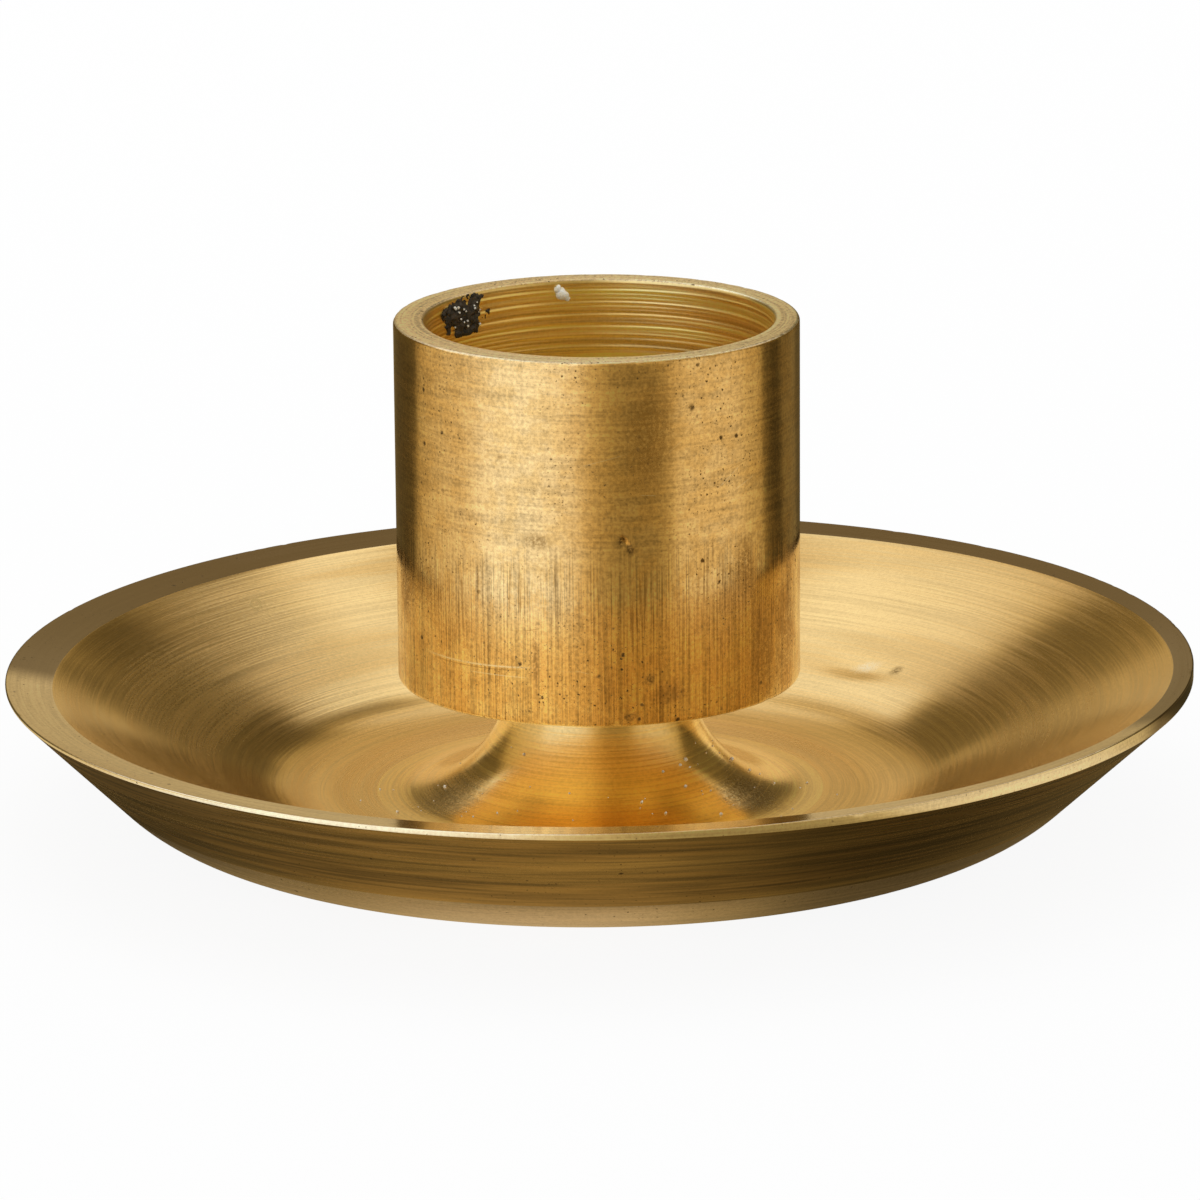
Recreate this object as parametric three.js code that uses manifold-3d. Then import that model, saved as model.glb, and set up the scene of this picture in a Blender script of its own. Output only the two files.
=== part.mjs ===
// Turned brass candle holder: a dished drip tray with a coved neck, a plain cup for a household
// candle, and the slotted screw and washer that hold the cup down on the neck from below.
// Millimetres, +Z up, with the origin on the table under the middle of the foot.

import * as THREE from "three";
import { mergeVertices } from "three/addons/utils/BufferGeometryUtils.js";
import Module from "manifold-3d";

// Cup for the candle
const CANDLE_DIAMETER = 22;
const CANDLE_CLEARANCE = 0.2; // all round the candle
const CUP_WALL = 1.8;
const CUP_FLOOR = 4.5;
const SOCKET_DEPTH = 19.05;
const SOCKET_CORNER_RADIUS = 0.8;
const CUP_EDGE_RADIUS = 0.25;

// Drip tray
const TRAY_DIAMETER = 76.7;
const TRAY_HEIGHT = 9.8;
const RIM_FACE_WIDTH = 2.1;
const RIM_BAND_HEIGHT = 0.85; // the upright band round the outside of the rim
const RIM_EDGE_RADIUS = 0.2;
const DISH_FLOOR_DIAMETER = 40.1; // where the dish's wall and floor would meet without their blend
const DISH_BLEND_RADIUS = 12;
const DISH_FLOOR_HEIGHT = 1.55; // above the table
const NECK_DIAMETER = 11.9;
const NECK_HEIGHT = 7.72; // above the dish's floor
const NECK_COVE_RADIUS = 7.6;
const FOOT_DIAMETER = 47.5;
const FOOT_WIDTH = 4;
const FOOT_RELIEF = 0.4; // how far the underside inside the foot stands off the table
const HEEL_REACH = 6.25; // from the foot out to the heel, before the heel is rounded
const HEEL_HEIGHT = 1.45;
const HEEL_RADIUS = 9.5;

// Screw and washer
const SCREW_DIAMETER = 4;
const SCREW_CLEARANCE = 0.3; // all round the shank, in the neck and in the cup's threaded hole
const SCREW_TIP_RECESS = 0.67; // from the screw's tip up to the socket's floor
const SCREW_TIP_RADIUS = 0.6;
const HEAD_DIAMETER = 7;
const HEAD_HEIGHT = 2.6;
const HEAD_EDGE_RADIUS = 0.5;
const HEAD_RECESS = 0.5; // from the table up to the head
const SLOT_WIDTH = 1.2;
const SLOT_DEPTH = 1.1;
const WASHER_DIAMETER = 9;
const WASHER_THICKNESS = 0.8;
const WASHER_HOLE_CLEARANCE = 0.15; // all round the shank
const RECESS_CLEARANCE = 0.3; // all round the washer in its recess

// Fineness of the facets
const TURNED_SEGMENTS = 72;
const SCREW_SEGMENTS = 36;
const FACET_DEPTH = 0.02; // how far a facet may lie inside the arc that it stands for

// Heights that the pieces share
const seatHeight = DISH_FLOOR_HEIGHT + NECK_HEIGHT;
const socketFloorHeight = seatHeight + CUP_FLOOR;
const washerHeight = HEAD_RECESS + HEAD_HEIGHT;
const recessDepth = washerHeight + WASHER_THICKNESS;
const screwHoleRadius = SCREW_DIAMETER / 2 + SCREW_CLEARANCE;

const wasm = await Module();
wasm.setup();

/** A corner of a turned outline: distance from the axis, height, and the radius it is rounded to. */
function corner(r, z, radius = 0) {
  return { point: new THREE.Vector2(r, z), radius };
}

/** The turning angle of the outline at a corner, in radians, positive to the left. */
function turnAt(before, here, after) {
  const arriving = here.point.clone().sub(before.point);
  const leaving = after.point.clone().sub(here.point);
  return Math.atan2(arriving.cross(leaving), arriving.dot(leaving));
}

/**
 * The points of an outline with its corners rounded to arcs. Where two arcs are too long for the
 * straight between them, both give way in proportion.
 */
function roundedOutline(corners) {
  const count = corners.length;
  const next = (i) => (i + 1) % count;
  const last = (i) => (i + count - 1) % count;
  const turns = corners.map((c, i) => turnAt(corners[last(i)], c, corners[next(i)]));
  const wanted = corners.map((c, i) => c.radius * Math.tan(Math.abs(turns[i]) / 2));
  const share = corners.map((c, i) => {
    const both = wanted[i] + wanted[next(i)];
    const straight = c.point.distanceTo(corners[next(i)].point);
    return both > straight ? straight / both : 1;
  });
  return corners.flatMap((c, i) => {
    if (c.radius === 0) return [c.point];
    const fit = Math.min(share[i], share[last(i)]);
    return arcAt(corners[last(i)].point, c.point, turns[i], c.radius * fit);
  });
}

/** The points of the arc that rounds one corner, reached from the point before it. */
function arcAt(before, here, turn, radius) {
  const heading = here.clone().sub(before).normalize();
  const start = here.clone().addScaledVector(heading, -radius * Math.tan(Math.abs(turn) / 2));
  const side = Math.sign(turn);
  const centre = start.clone().add(new THREE.Vector2(-heading.y, heading.x).multiplyScalar(radius * side));
  const facetAngle = 2 * Math.acos(1 - FACET_DEPTH / radius);
  const steps = Math.ceil(Math.abs(turn) / facetAngle);
  return Array.from({ length: steps + 1 }, (_, k) =>
    start.clone().rotateAround(centre, (turn * k) / steps),
  );
}

/** A solid turned about +Z from the corners of its outline, listed anticlockwise. */
function turned(corners, segments) {
  const outline = roundedOutline(corners);
  const onAxis = corners[0].point.x === 0;
  const points = onAxis ? outline : [...outline, outline[0]];
  return new THREE.LatheGeometry(points, segments).rotateX(Math.PI / 2);
}

/** A closed geometry as a solid that can be cut. */
function solidOf(geometry) {
  const bare = geometry.clone().deleteAttribute("normal").deleteAttribute("uv");
  const merged = mergeVertices(bare);
  return new wasm.Manifold(
    new wasm.Mesh({
      numProp: 3,
      vertProperties: merged.attributes.position.array,
      triVerts: new Uint32Array(merged.index.array),
    }),
  );
}

/** What is left of one geometry when another is cut out of it. */
function cut(geometry, cutter) {
  const left = solidOf(geometry).subtract(solidOf(cutter)).getMesh();
  return new THREE.BufferGeometry()
    .setAttribute("position", new THREE.BufferAttribute(left.vertProperties, 3))
    .setIndex(new THREE.BufferAttribute(left.triVerts, 1));
}

/** A named piece of bare brass. */
function brassPiece(name, geometry, color, roughness) {
  const brass = new THREE.MeshStandardMaterial({ color, roughness, metalness: 1 });
  const piece = new THREE.Mesh(geometry, brass);
  piece.name = name;
  return piece;
}

/** The tray: foot, rounded heel, conical wall, faced rim, dish and coved neck, recessed for the screw. */
function makeDripTray() {
  const recessRadius = WASHER_DIAMETER / 2 + RECESS_CLEARANCE;
  const footRadius = FOOT_DIAMETER / 2;
  const footInside = footRadius - FOOT_WIDTH;
  const rimRadius = TRAY_DIAMETER / 2;
  const outside = [
    corner(recessRadius, FOOT_RELIEF),
    corner(footInside - FOOT_RELIEF, FOOT_RELIEF),
    corner(footInside, 0),
    corner(footRadius, 0),
    corner(footRadius + HEEL_REACH, HEEL_HEIGHT, HEEL_RADIUS),
    corner(rimRadius, TRAY_HEIGHT - RIM_BAND_HEIGHT),
  ];
  const rim = [
    corner(rimRadius, TRAY_HEIGHT, RIM_EDGE_RADIUS),
    corner(rimRadius - RIM_FACE_WIDTH, TRAY_HEIGHT, RIM_EDGE_RADIUS),
  ];
  const inside = [
    corner(DISH_FLOOR_DIAMETER / 2, DISH_FLOOR_HEIGHT, DISH_BLEND_RADIUS),
    corner(NECK_DIAMETER / 2, DISH_FLOOR_HEIGHT, NECK_COVE_RADIUS),
    corner(NECK_DIAMETER / 2, seatHeight),
  ];
  const screwHole = [
    corner(screwHoleRadius, seatHeight),
    corner(screwHoleRadius, recessDepth),
    corner(recessRadius, recessDepth),
  ];
  return turned([...outside, ...rim, ...inside, ...screwHole], TURNED_SEGMENTS);
}

/** The cup, standing on its own origin: a straight socket over a thick floor with a threaded hole. */
function makeCandleCup() {
  const socketRadius = CANDLE_DIAMETER / 2 + CANDLE_CLEARANCE;
  const cupRadius = socketRadius + CUP_WALL;
  const cupHeight = CUP_FLOOR + SOCKET_DEPTH;
  const cup = [
    corner(screwHoleRadius, 0),
    corner(cupRadius, 0, CUP_EDGE_RADIUS),
    corner(cupRadius, cupHeight, CUP_EDGE_RADIUS),
    corner(socketRadius, cupHeight, CUP_EDGE_RADIUS),
    corner(socketRadius, CUP_FLOOR, SOCKET_CORNER_RADIUS),
    corner(screwHoleRadius, CUP_FLOOR),
  ];
  return turned(cup, TURNED_SEGMENTS);
}

/** The cheese-head screw, head down on its own origin, with a slot across the head. */
function makeFixingScrew() {
  const headRadius = HEAD_DIAMETER / 2;
  const shankRadius = SCREW_DIAMETER / 2;
  const tipHeight = socketFloorHeight - SCREW_TIP_RECESS - HEAD_RECESS;
  const blank = [
    corner(0, 0),
    corner(headRadius, 0, HEAD_EDGE_RADIUS),
    corner(headRadius, HEAD_HEIGHT),
    corner(shankRadius, HEAD_HEIGHT),
    corner(shankRadius, tipHeight, SCREW_TIP_RADIUS),
    corner(0, tipHeight),
  ];
  const slot = new THREE.BoxGeometry(2 * HEAD_DIAMETER, SLOT_WIDTH, 2 * SLOT_DEPTH);
  return cut(turned(blank, SCREW_SEGMENTS), slot);
}

/** The plain washer, lying on its own origin. */
function makeWasher() {
  const holeRadius = SCREW_DIAMETER / 2 + WASHER_HOLE_CLEARANCE;
  const washerRadius = WASHER_DIAMETER / 2;
  const washer = [
    corner(holeRadius, 0),
    corner(washerRadius, 0),
    corner(washerRadius, WASHER_THICKNESS),
    corner(holeRadius, WASHER_THICKNESS),
  ];
  return turned(washer, SCREW_SEGMENTS);
}

const candleHolder = new THREE.Group();
const dripTray = brassPiece("drip_tray", makeDripTray(), 0xb98f46, 0.28);
const candleCup = brassPiece("candle_cup", makeCandleCup(), 0xb48a40, 0.34);
candleCup.position.z = seatHeight;

const fastening = new THREE.Group();
const fixingScrew = brassPiece("fixing_screw", makeFixingScrew(), 0xa98544, 0.4);
fixingScrew.position.z = HEAD_RECESS;
const washer = brassPiece("washer", makeWasher(), 0xa98544, 0.45);
washer.position.z = washerHeight;
fastening.add(fixingScrew, washer);

candleHolder.add(dripTray, candleCup, fastening);

export default candleHolder;
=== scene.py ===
"""Looks of a small brass candle holder: a turned drip tray, a drawn cup, the screw and washer that hold them
together, and the wax that candles left behind. Lengths are metres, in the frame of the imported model.
Marks and scratches are placed in millimetres, as the materials measure."""

import logging
import math
from collections.abc import Iterator
from dataclasses import dataclass
from enum import Enum, IntEnum

import bmesh
import bpy
import numpy as np
from mathutils import Matrix, Vector, noise

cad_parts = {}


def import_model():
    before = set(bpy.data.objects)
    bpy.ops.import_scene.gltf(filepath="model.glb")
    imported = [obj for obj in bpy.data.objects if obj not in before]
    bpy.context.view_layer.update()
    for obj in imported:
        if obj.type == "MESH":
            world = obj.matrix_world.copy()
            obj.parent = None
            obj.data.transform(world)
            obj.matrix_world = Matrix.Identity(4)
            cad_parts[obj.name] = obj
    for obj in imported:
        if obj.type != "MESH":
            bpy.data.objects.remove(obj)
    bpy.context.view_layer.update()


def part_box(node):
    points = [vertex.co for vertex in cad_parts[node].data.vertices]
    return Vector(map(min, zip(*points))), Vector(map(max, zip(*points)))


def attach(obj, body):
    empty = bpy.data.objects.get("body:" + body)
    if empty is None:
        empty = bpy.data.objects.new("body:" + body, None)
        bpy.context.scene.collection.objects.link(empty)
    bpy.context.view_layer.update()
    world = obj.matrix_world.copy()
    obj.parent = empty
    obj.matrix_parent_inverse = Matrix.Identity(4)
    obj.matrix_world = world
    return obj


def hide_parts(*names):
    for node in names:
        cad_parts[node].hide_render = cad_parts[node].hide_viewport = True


MM = 0.001
BODY = "root"
SMOOTH_ANGLE = math.radians(38)
POLE_GAP = 1e-7
RUN = "run"
WHITE = (1.0, 1.0, 1.0)
BLACK = (0.0, 0.0, 0.0)

Colour = tuple[float, float, float]
Point = tuple[float, float, float]
Spokes = np.ndarray | float
Socket = bpy.types.NodeSocket
Feed = Socket | float | Colour
ColourLayer = tuple[Socket, Colour, float]

log = logging.getLogger("candle_holder")


def spoke_angles(spokes: int) -> np.ndarray:
    """Angles of evenly spaced spokes round the axis, from +X."""
    return np.arange(spokes) * (math.tau / spokes)


def on_ring(radius: float, degrees: float, height: float) -> Point:
    """A point given by its distance from the axis, its angle from +X and its height."""
    angle = math.radians(degrees)
    return radius * math.cos(angle), radius * math.sin(angle), height


def mesh_from(shape: bmesh.types.BMesh, name: str) -> bpy.types.Mesh:
    """Turns an edited shape into a mesh.

    Args:
        shape: the shape, which is freed.
        name: name of the mesh.

    Returns:
        The mesh.
    """
    mesh = bpy.data.meshes.new(name)
    shape.to_mesh(mesh)
    shape.free()
    return mesh


def placed(name: str, data: bpy.types.ID) -> bpy.types.Object:
    """Makes an object of the scene.

    Args:
        name: name of the object.
        data: its mesh, lamp or camera.

    Returns:
        The object.
    """
    made = bpy.data.objects.new(name, data)
    bpy.context.scene.collection.objects.link(made)
    return made


# Turned surfaces


@dataclass(frozen=True)
class Dint:
    """A small hollow knocked into a surface."""

    centre: Point
    along: Point
    length: float
    width: float
    depth: float

    def press(self, points: np.ndarray, normals: np.ndarray) -> np.ndarray:
        """Moves the points near the dint inwards.

        Args:
            points: places of the points.
            normals: outward directions at the points.

        Returns:
            The new places.
        """
        way = np.array(Vector(self.along).normalized())
        offset = points - np.array(self.centre)
        lengthwise = offset @ way
        sideways = np.linalg.norm(offset - lengthwise[..., None] * way, axis=-1)
        fall = np.exp(-(lengthwise / self.length) ** 2 - (sideways / self.width) ** 2)
        return points - normals * (self.depth * fall)[..., None]


def edge_nicks(seed: int, count: int, radius: float, height: Spokes, size: tuple[float, float],
               depth: tuple[float, float]) -> list[Dint]:
    """Scatters nicks along a round edge.

    Args:
        seed: seed of the random places.
        count: number of nicks.
        radius: radius of the edge.
        height: height of the edge, one or one for each spoke.
        size: least and greatest length of a nick.
        depth: least and greatest depth.

    Returns:
        The nicks.
    """
    draw = np.random.default_rng(seed)
    heights = np.atleast_1d(height)
    nicks = []
    for _ in range(count):
        turn = draw.random()
        length = draw.uniform(*size)
        deep = draw.uniform(*depth)
        level = float(heights[int(turn * len(heights))])
        angle = turn * 360.0
        tangent = on_ring(1.0, angle + 90.0, 0.0)
        width = 0.6 * length
        nicks.append(Dint(on_ring(radius, angle, level), tangent, length, width, deep))
    return nicks


@dataclass(frozen=True)
class Corner:
    """A corner of a turned outline, followed by a straight stretch to the next corner.

    r and z are one length, or one for each spoke where the corner wanders round the axis. finish is the
    material index of the stretch that follows, and spacing the distance between the rings on it.
    """

    r: Spokes
    z: Spokes
    rounding: float = 0.0
    finish: int = 0
    spacing: float = 0.5 * MM


class TurnedSurface:
    """The rings of points that an outline leaves as it is turned round the z axis."""

    ARC_STEP = math.radians(9)
    LEAST_LENGTH = 1e-15

    def __init__(self, corners: list[Corner], spokes: int, closed: bool = True) -> None:
        """Follows the outline and lays out its rings.

        Args:
            corners: the outline, anticlockwise with r to the right and z up.
            spokes: points on each ring.
            closed: whether the last corner joins the first; an open outline starts and ends on the axis.
        """
        self.spokes = spokes
        self.closed = closed
        self.angles = spoke_angles(spokes)
        self.finishes: list[int] = []
        rings = self._follow(corners)
        self.r = np.array([ring[0] for ring in rings])
        self.z = np.array([ring[1] for ring in rings])
        steps = np.hypot(np.diff(self.r.mean(1)), np.diff(self.z.mean(1)))
        self.run = np.concatenate([[0.0], np.cumsum(steps)])

    def _follow(self, corners: list[Corner]) -> list[np.ndarray]:
        """Walks the outline.

        Args:
            corners: the outline's corners.

        Returns:
            One array of r and z for each ring; the finish after each ring goes to finishes.
        """
        places = [np.stack([np.broadcast_to(side, self.spokes) for side in (corner.r, corner.z)])
                  for corner in corners]
        count = len(corners)
        arcs = []
        for i, corner in enumerate(corners):
            around = (places[i - 1], places[i], places[(i + 1) % count])
            arcs.append(self._arc(*around, corner.rounding, corner.spacing))
        rings = []
        for i, corner in enumerate(corners):
            for step, point in enumerate(arcs[i]):
                arriving = step < len(arcs[i]) // 2
                rings.append(point)
                self.finishes.append(corners[i - 1].finish if arriving else corner.finish)
            if i == count - 1 and not self.closed:
                break
            start = arcs[i][-1]
            stretch = arcs[(i + 1) % count][0] - start
            steps = max(1, math.ceil(np.hypot(*stretch).mean() / corner.spacing))
            for step in range(1, steps):
                rings.append(start + stretch * (step / steps))
                self.finishes.append(corner.finish)
        return rings

    def _arc(self, before: np.ndarray, at: np.ndarray, after: np.ndarray, rounding: float,
             spacing: float) -> list[np.ndarray]:
        """Rounds one corner.

        Args:
            before: r and z of the corner before, for each spoke.
            at: r and z of this corner.
            after: r and z of the corner after.
            rounding: radius of the arc, or 0 for a sharp corner.
            spacing: greatest distance between two points of the arc.

        Returns:
            The points of the arc, in the order of the outline.
        """
        if rounding == 0.0:
            return [at]
        back = (before - at) / np.hypot(*(before - at))
        ahead = (after - at) / np.hypot(*(after - at))
        opening = np.arccos(np.clip((back * ahead).sum(0), -1.0, 1.0))
        middle = (back + ahead) / np.hypot(*(back + ahead))
        centre = at + middle * (rounding / np.sin(opening / 2))
        reach = rounding / np.tan(opening / 2)
        first = at + back * reach - centre
        last = at + ahead * reach - centre
        sweep = math.pi - opening
        widest = float(sweep.mean())
        steps = max(2, math.ceil(max(widest / self.ARC_STEP, rounding * widest / spacing)))
        points = []
        for share in np.linspace(0.0, 1.0, steps + 1):
            turned = np.sin((1 - share) * sweep) * first + np.sin(share * sweep) * last
            points.append(centre + turned / np.sin(sweep))
        return points

    def points(self) -> np.ndarray:
        """Places of all points, as rings by spokes by three."""
        return np.stack([self.r * np.cos(self.angles), self.r * np.sin(self.angles), self.z], axis=-1)

    def normals(self, points: np.ndarray) -> np.ndarray:
        """Outward directions.

        Args:
            points: places of all points, as points() gives them.

        Returns:
            One unit vector for each point.
        """
        around = np.roll(points, -1, axis=1) - np.roll(points, 1, axis=1)
        along = np.roll(points, -1, axis=0) - np.roll(points, 1, axis=0)
        across = np.cross(around, along)
        length = np.linalg.norm(across, axis=-1, keepdims=True)
        return across / np.maximum(length, self.LEAST_LENGTH)

    def knocked(self, dints: list[Dint]) -> np.ndarray:
        """Places of all points once dints are knocked into the surface.

        Args:
            dints: the dints, knocked in one after the other.

        Returns:
            The places, as rings by spokes by three.
        """
        points = self.points()
        normals = self.normals(points)
        for dint in dints:
            points = dint.press(points, normals)
        return points

    def piece(self, name: str, points: np.ndarray, materials: list[bpy.types.Material]) -> bpy.types.Object:
        """Makes the mesh object.

        Args:
            name: name of the piece.
            points: places of all points, with any dints knocked in.
            materials: the finishes, in the order of the corners' finish numbers.

        Returns:
            The new object. Its RUN attribute holds each point's distance along the outline, in millimetres.
        """
        rings = len(self.run)
        bands = rings if self.closed else rings - 1
        spoke = np.arange(self.spokes)
        near = np.arange(bands)[:, None] * self.spokes
        far = (np.arange(1, bands + 1) % rings)[:, None] * self.spokes
        turned = (spoke + 1) % self.spokes
        quads = np.stack([near + spoke, near + turned, far + turned, far + spoke], axis=-1).reshape(-1, 4)
        mesh = bpy.data.meshes.new(name)
        mesh.vertices.add(rings * self.spokes)
        mesh.vertices.foreach_set("co", points.astype(np.float32).ravel())
        mesh.loops.add(quads.size)
        mesh.loops.foreach_set("vertex_index", quads.astype(np.int32).ravel())
        mesh.polygons.add(len(quads))
        mesh.polygons.foreach_set("loop_start", np.arange(len(quads), dtype=np.int32) * 4)
        finish = np.repeat(np.array(self.finishes[:bands], dtype=np.int32), self.spokes)
        mesh.polygons.foreach_set("material_index", finish)
        mesh.update(calc_edges=True)
        run = mesh.attributes.new(RUN, "FLOAT", "POINT")
        run.data.foreach_set("value", np.repeat(self.run / MM, self.spokes).astype(np.float32))
        if not self.closed:
            close_poles(mesh)
        mesh.shade_smooth()
        mesh.set_sharp_from_angle(angle=SMOOTH_ANGLE)
        for material in materials:
            mesh.materials.append(material)
        return placed(name, mesh)


def close_poles(mesh: bpy.types.Mesh) -> None:
    """Merges the points of a ring that has shrunk to the axis."""
    shape = bmesh.new()
    shape.from_mesh(mesh)
    bmesh.ops.remove_doubles(shape, verts=shape.verts, dist=POLE_GAP)
    shape.to_mesh(mesh)
    shape.free()


# Finishes


class NodeBench:
    """Lays out the nodes of one tree."""

    def __init__(self, tree: bpy.types.NodeTree) -> None:
        """Starts with the nodes that the tree has."""
        self.tree = tree

    def node(self, kind: str, **settings: object) -> bpy.types.Node:
        """Adds a node.

        Args:
            kind: the node's type.
            **settings: its properties.

        Returns:
            The node.
        """
        made = self.tree.nodes.new(kind)
        for key, value in settings.items():
            setattr(made, key, value)
        return made

    def feed(self, socket: Socket, source: Feed) -> None:
        """Links a source to a socket, or sets a constant on it.

        Args:
            socket: the input.
            source: an output, a number or a colour.
        """
        if isinstance(source, bpy.types.NodeSocket):
            self.tree.links.new(source, socket)
        elif socket.type == "RGBA":
            socket.default_value = (*source, 1.0)
        else:
            socket.default_value = source

    def maths(self, operation: str, *terms: Feed) -> Socket:
        """One step of arithmetic.

        Args:
            operation: the Math node's operation.
            *terms: its inputs.

        Returns:
            The result.
        """
        made = self.node("ShaderNodeMath", operation=operation)
        for socket, term in zip(made.inputs, terms):
            self.feed(socket, term)
        return made.outputs[0]

    def most(self, values: Iterator[Socket]) -> Socket:
        """The greatest of several values, each compared as soon as it is made."""
        found = next(values)
        for value in values:
            found = self.maths("MAXIMUM", found, value)
        return found


class ShaderBench(NodeBench):
    """Lays out the nodes of one material, which measures in millimetres."""

    NUMBER_RESULTS = ("LENGTH", "DOT_PRODUCT")
    SPECK_CORE = 0.45
    QUARTER_TURN = 0.25

    def __init__(self, name: str) -> None:
        """Starts a material with one Principled shader."""
        self.material = bpy.data.materials.new(name)
        self.material.use_nodes = True
        super().__init__(self.material.node_tree)
        self.surface = self.tree.nodes["Principled BSDF"]

    def vector_maths(self, operation: str, *terms: Feed) -> Socket:
        """One step of arithmetic with vectors.

        Args:
            operation: the Vector Math node's operation.
            *terms: its inputs.

        Returns:
            The result, a number for a length or a dot product and a vector otherwise.
        """
        made = self.node("ShaderNodeVectorMath", operation=operation)
        for socket, term in zip(made.inputs, terms):
            self.feed(socket, term)
        return made.outputs["Value" if operation in self.NUMBER_RESULTS else "Vector"]

    def total(self, *terms: tuple[Socket, float]) -> Socket:
        """A weighted sum.

        Args:
            *terms: pairs of a value and its weight.

        Returns:
            The sum.
        """
        made = self.maths("MULTIPLY", *terms[0])
        for value, weight in terms[1:]:
            made = self.maths("MULTIPLY_ADD", value, weight, made)
        return made

    def place(self) -> Socket:
        """The point on the surface, in millimetres."""
        source = self.node("ShaderNodeTexCoord").outputs["Object"]
        return self.scaled(source, 1.0 / MM)

    def scaled(self, vector: Feed, factor: Feed) -> Socket:
        """A vector or colour times a number."""
        made = self.node("ShaderNodeVectorMath", operation="SCALE")
        self.feed(made.inputs[0], vector)
        self.feed(made.inputs["Scale"], factor)
        return made.outputs[0]

    def run(self) -> Socket:
        """The distance along the turned outline, in millimetres."""
        return self.node("ShaderNodeAttribute", attribute_name=RUN).outputs["Fac"]

    def stretched(self, x: float, y: float, z: float) -> Socket:
        """The point in millimetres, each axis times its own factor."""
        return self.vector_maths("MULTIPLY", self.place(), (x, y, z))

    def axes(self) -> tuple[Socket, Socket, Socket]:
        """The point on the surface, in millimetres, as its x, y and z."""
        place = self.place()
        parts = self.node("ShaderNodeSeparateXYZ")
        self.feed(parts.inputs[0], place)
        return tuple(parts.outputs)

    def round_lines(self, per_mm: float, length: float, detail: float = 2.0) -> Socket:
        """Fine lines that run round the axis.

        Args:
            per_mm: lines for each millimetre along the outline.
            length: how far a line keeps its strength, in millimetres.
            detail: octaves of the noise.

        Returns:
            A value from 0 to 1.
        """
        x, y, _ = self.axes()
        sides = [self.maths("DIVIDE", side, length) for side in (x, y)]
        rise = self.maths("MULTIPLY", self.run(), per_mm)
        joined = self.node("ShaderNodeCombineXYZ")
        for socket, source in zip(joined.inputs, (*sides, rise)):
            self.feed(socket, source)
        return self.noise(joined.outputs[0], 1.0, detail)

    def upright_lines(self, per_mm: float, length: float, detail: float = 2.0) -> Socket:
        """Fine lines that run along the axis.

        Args:
            per_mm: lines for each millimetre round the surface.
            length: how far a line keeps its strength, in millimetres.
            detail: octaves of the noise.

        Returns:
            A value from 0 to 1.
        """
        return self.noise(self.stretched(per_mm, per_mm, 1.0 / length), 1.0, detail)

    def noise(self, vector: Socket, scale: float, detail: float = 2.0, roughness: float = 0.5) -> Socket:
        """Cloudy noise.

        Args:
            vector: where it is read.
            scale: features for each unit of the vector.
            detail: octaves.
            roughness: strength of the finer octaves.

        Returns:
            A value from 0 to 1.
        """
        made = self.node("ShaderNodeTexNoise")
        self.feed(made.inputs["Vector"], vector)
        made.inputs["Scale"].default_value = scale
        made.inputs["Detail"].default_value = detail
        made.inputs["Roughness"].default_value = roughness
        return made.outputs["Fac"]

    def specks(self, vector: Socket, share: float, radius: float) -> Socket:
        """Small round specks, at most one in each unit cell.

        Args:
            vector: where they are read, in cells.
            share: share of the cells that hold one.
            radius: radius of a speck, in cells.

        Returns:
            1 inside a speck and 0 outside.
        """
        made = self.node("ShaderNodeTexVoronoi")
        self.feed(made.inputs["Vector"], vector)
        made.inputs["Scale"].default_value = 1.0
        parts = self.node("ShaderNodeSeparateColor")
        self.feed(parts.inputs[0], made.outputs["Color"])
        inside = self.level(made.outputs["Distance"], radius, self.SPECK_CORE * radius)
        chosen = self.maths("LESS_THAN", parts.outputs[0], share)
        return self.maths("MULTIPLY", inside, chosen)

    def level(self, value: Socket, low: float, high: float, bottom: float = 0.0, top: float = 1.0) -> Socket:
        """A soft step.

        Args:
            value: the input.
            low: input at which the step starts.
            high: input at which it ends.
            bottom: result at low.
            top: result at high.

        Returns:
            The stepped value.
        """
        made = self.node("ShaderNodeMapRange", interpolation_type="SMOOTHSTEP")
        for key, amount in (("From Min", low), ("From Max", high), ("To Min", bottom), ("To Max", top)):
            made.inputs[key].default_value = amount
        self.feed(made.inputs["Value"], value)
        return made.outputs["Result"]

    def blend(self, share: Socket, under: Socket, over: Socket) -> Socket:
        """A value between two others.

        Args:
            share: 0 for the first, 1 for the second.
            under: the first value.
            over: the second value.

        Returns:
            The value between them.
        """
        return self.maths("MULTIPLY_ADD", self.maths("SUBTRACT", over, under), share, under)

    def tint(self, share: Feed, under: Feed, over: Feed) -> Socket:
        """One colour laid over another.

        Args:
            share: how much of the upper colour shows.
            under: the lower colour.
            over: the upper colour.

        Returns:
            The mixed colour.
        """
        made = self.node("ShaderNodeMix", data_type="RGBA")
        self.feed(made.inputs["Factor"], share)
        colours = [socket for socket in made.inputs if socket.type == "RGBA"]
        self.feed(colours[0], under)
        self.feed(colours[1], over)
        return next(socket for socket in made.outputs if socket.type == "RGBA")

    def brush(self, amount: float) -> None:
        """Stretches reflections across lines that run round the axis.

        Args:
            amount: how far, from 0 to 1.
        """
        around = self.node("ShaderNodeTangent", direction_type="RADIAL", axis="Z")
        self.feed(self.surface.inputs["Tangent"], around.outputs[0])
        self.surface.inputs["Anisotropic"].default_value = amount
        self.surface.inputs["Anisotropic Rotation"].default_value = self.QUARTER_TURN

    def bump(self, height: Socket, depth: float) -> None:
        """Gives the surface a relief.

        Args:
            height: relief from 0 to 1.
            depth: its depth.
        """
        made = self.node("ShaderNodeBump")
        made.inputs["Strength"].default_value = 1.0
        made.inputs["Distance"].default_value = depth
        self.feed(made.inputs["Height"], height)
        self.feed(self.surface.inputs["Normal"], made.outputs[0])


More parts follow.
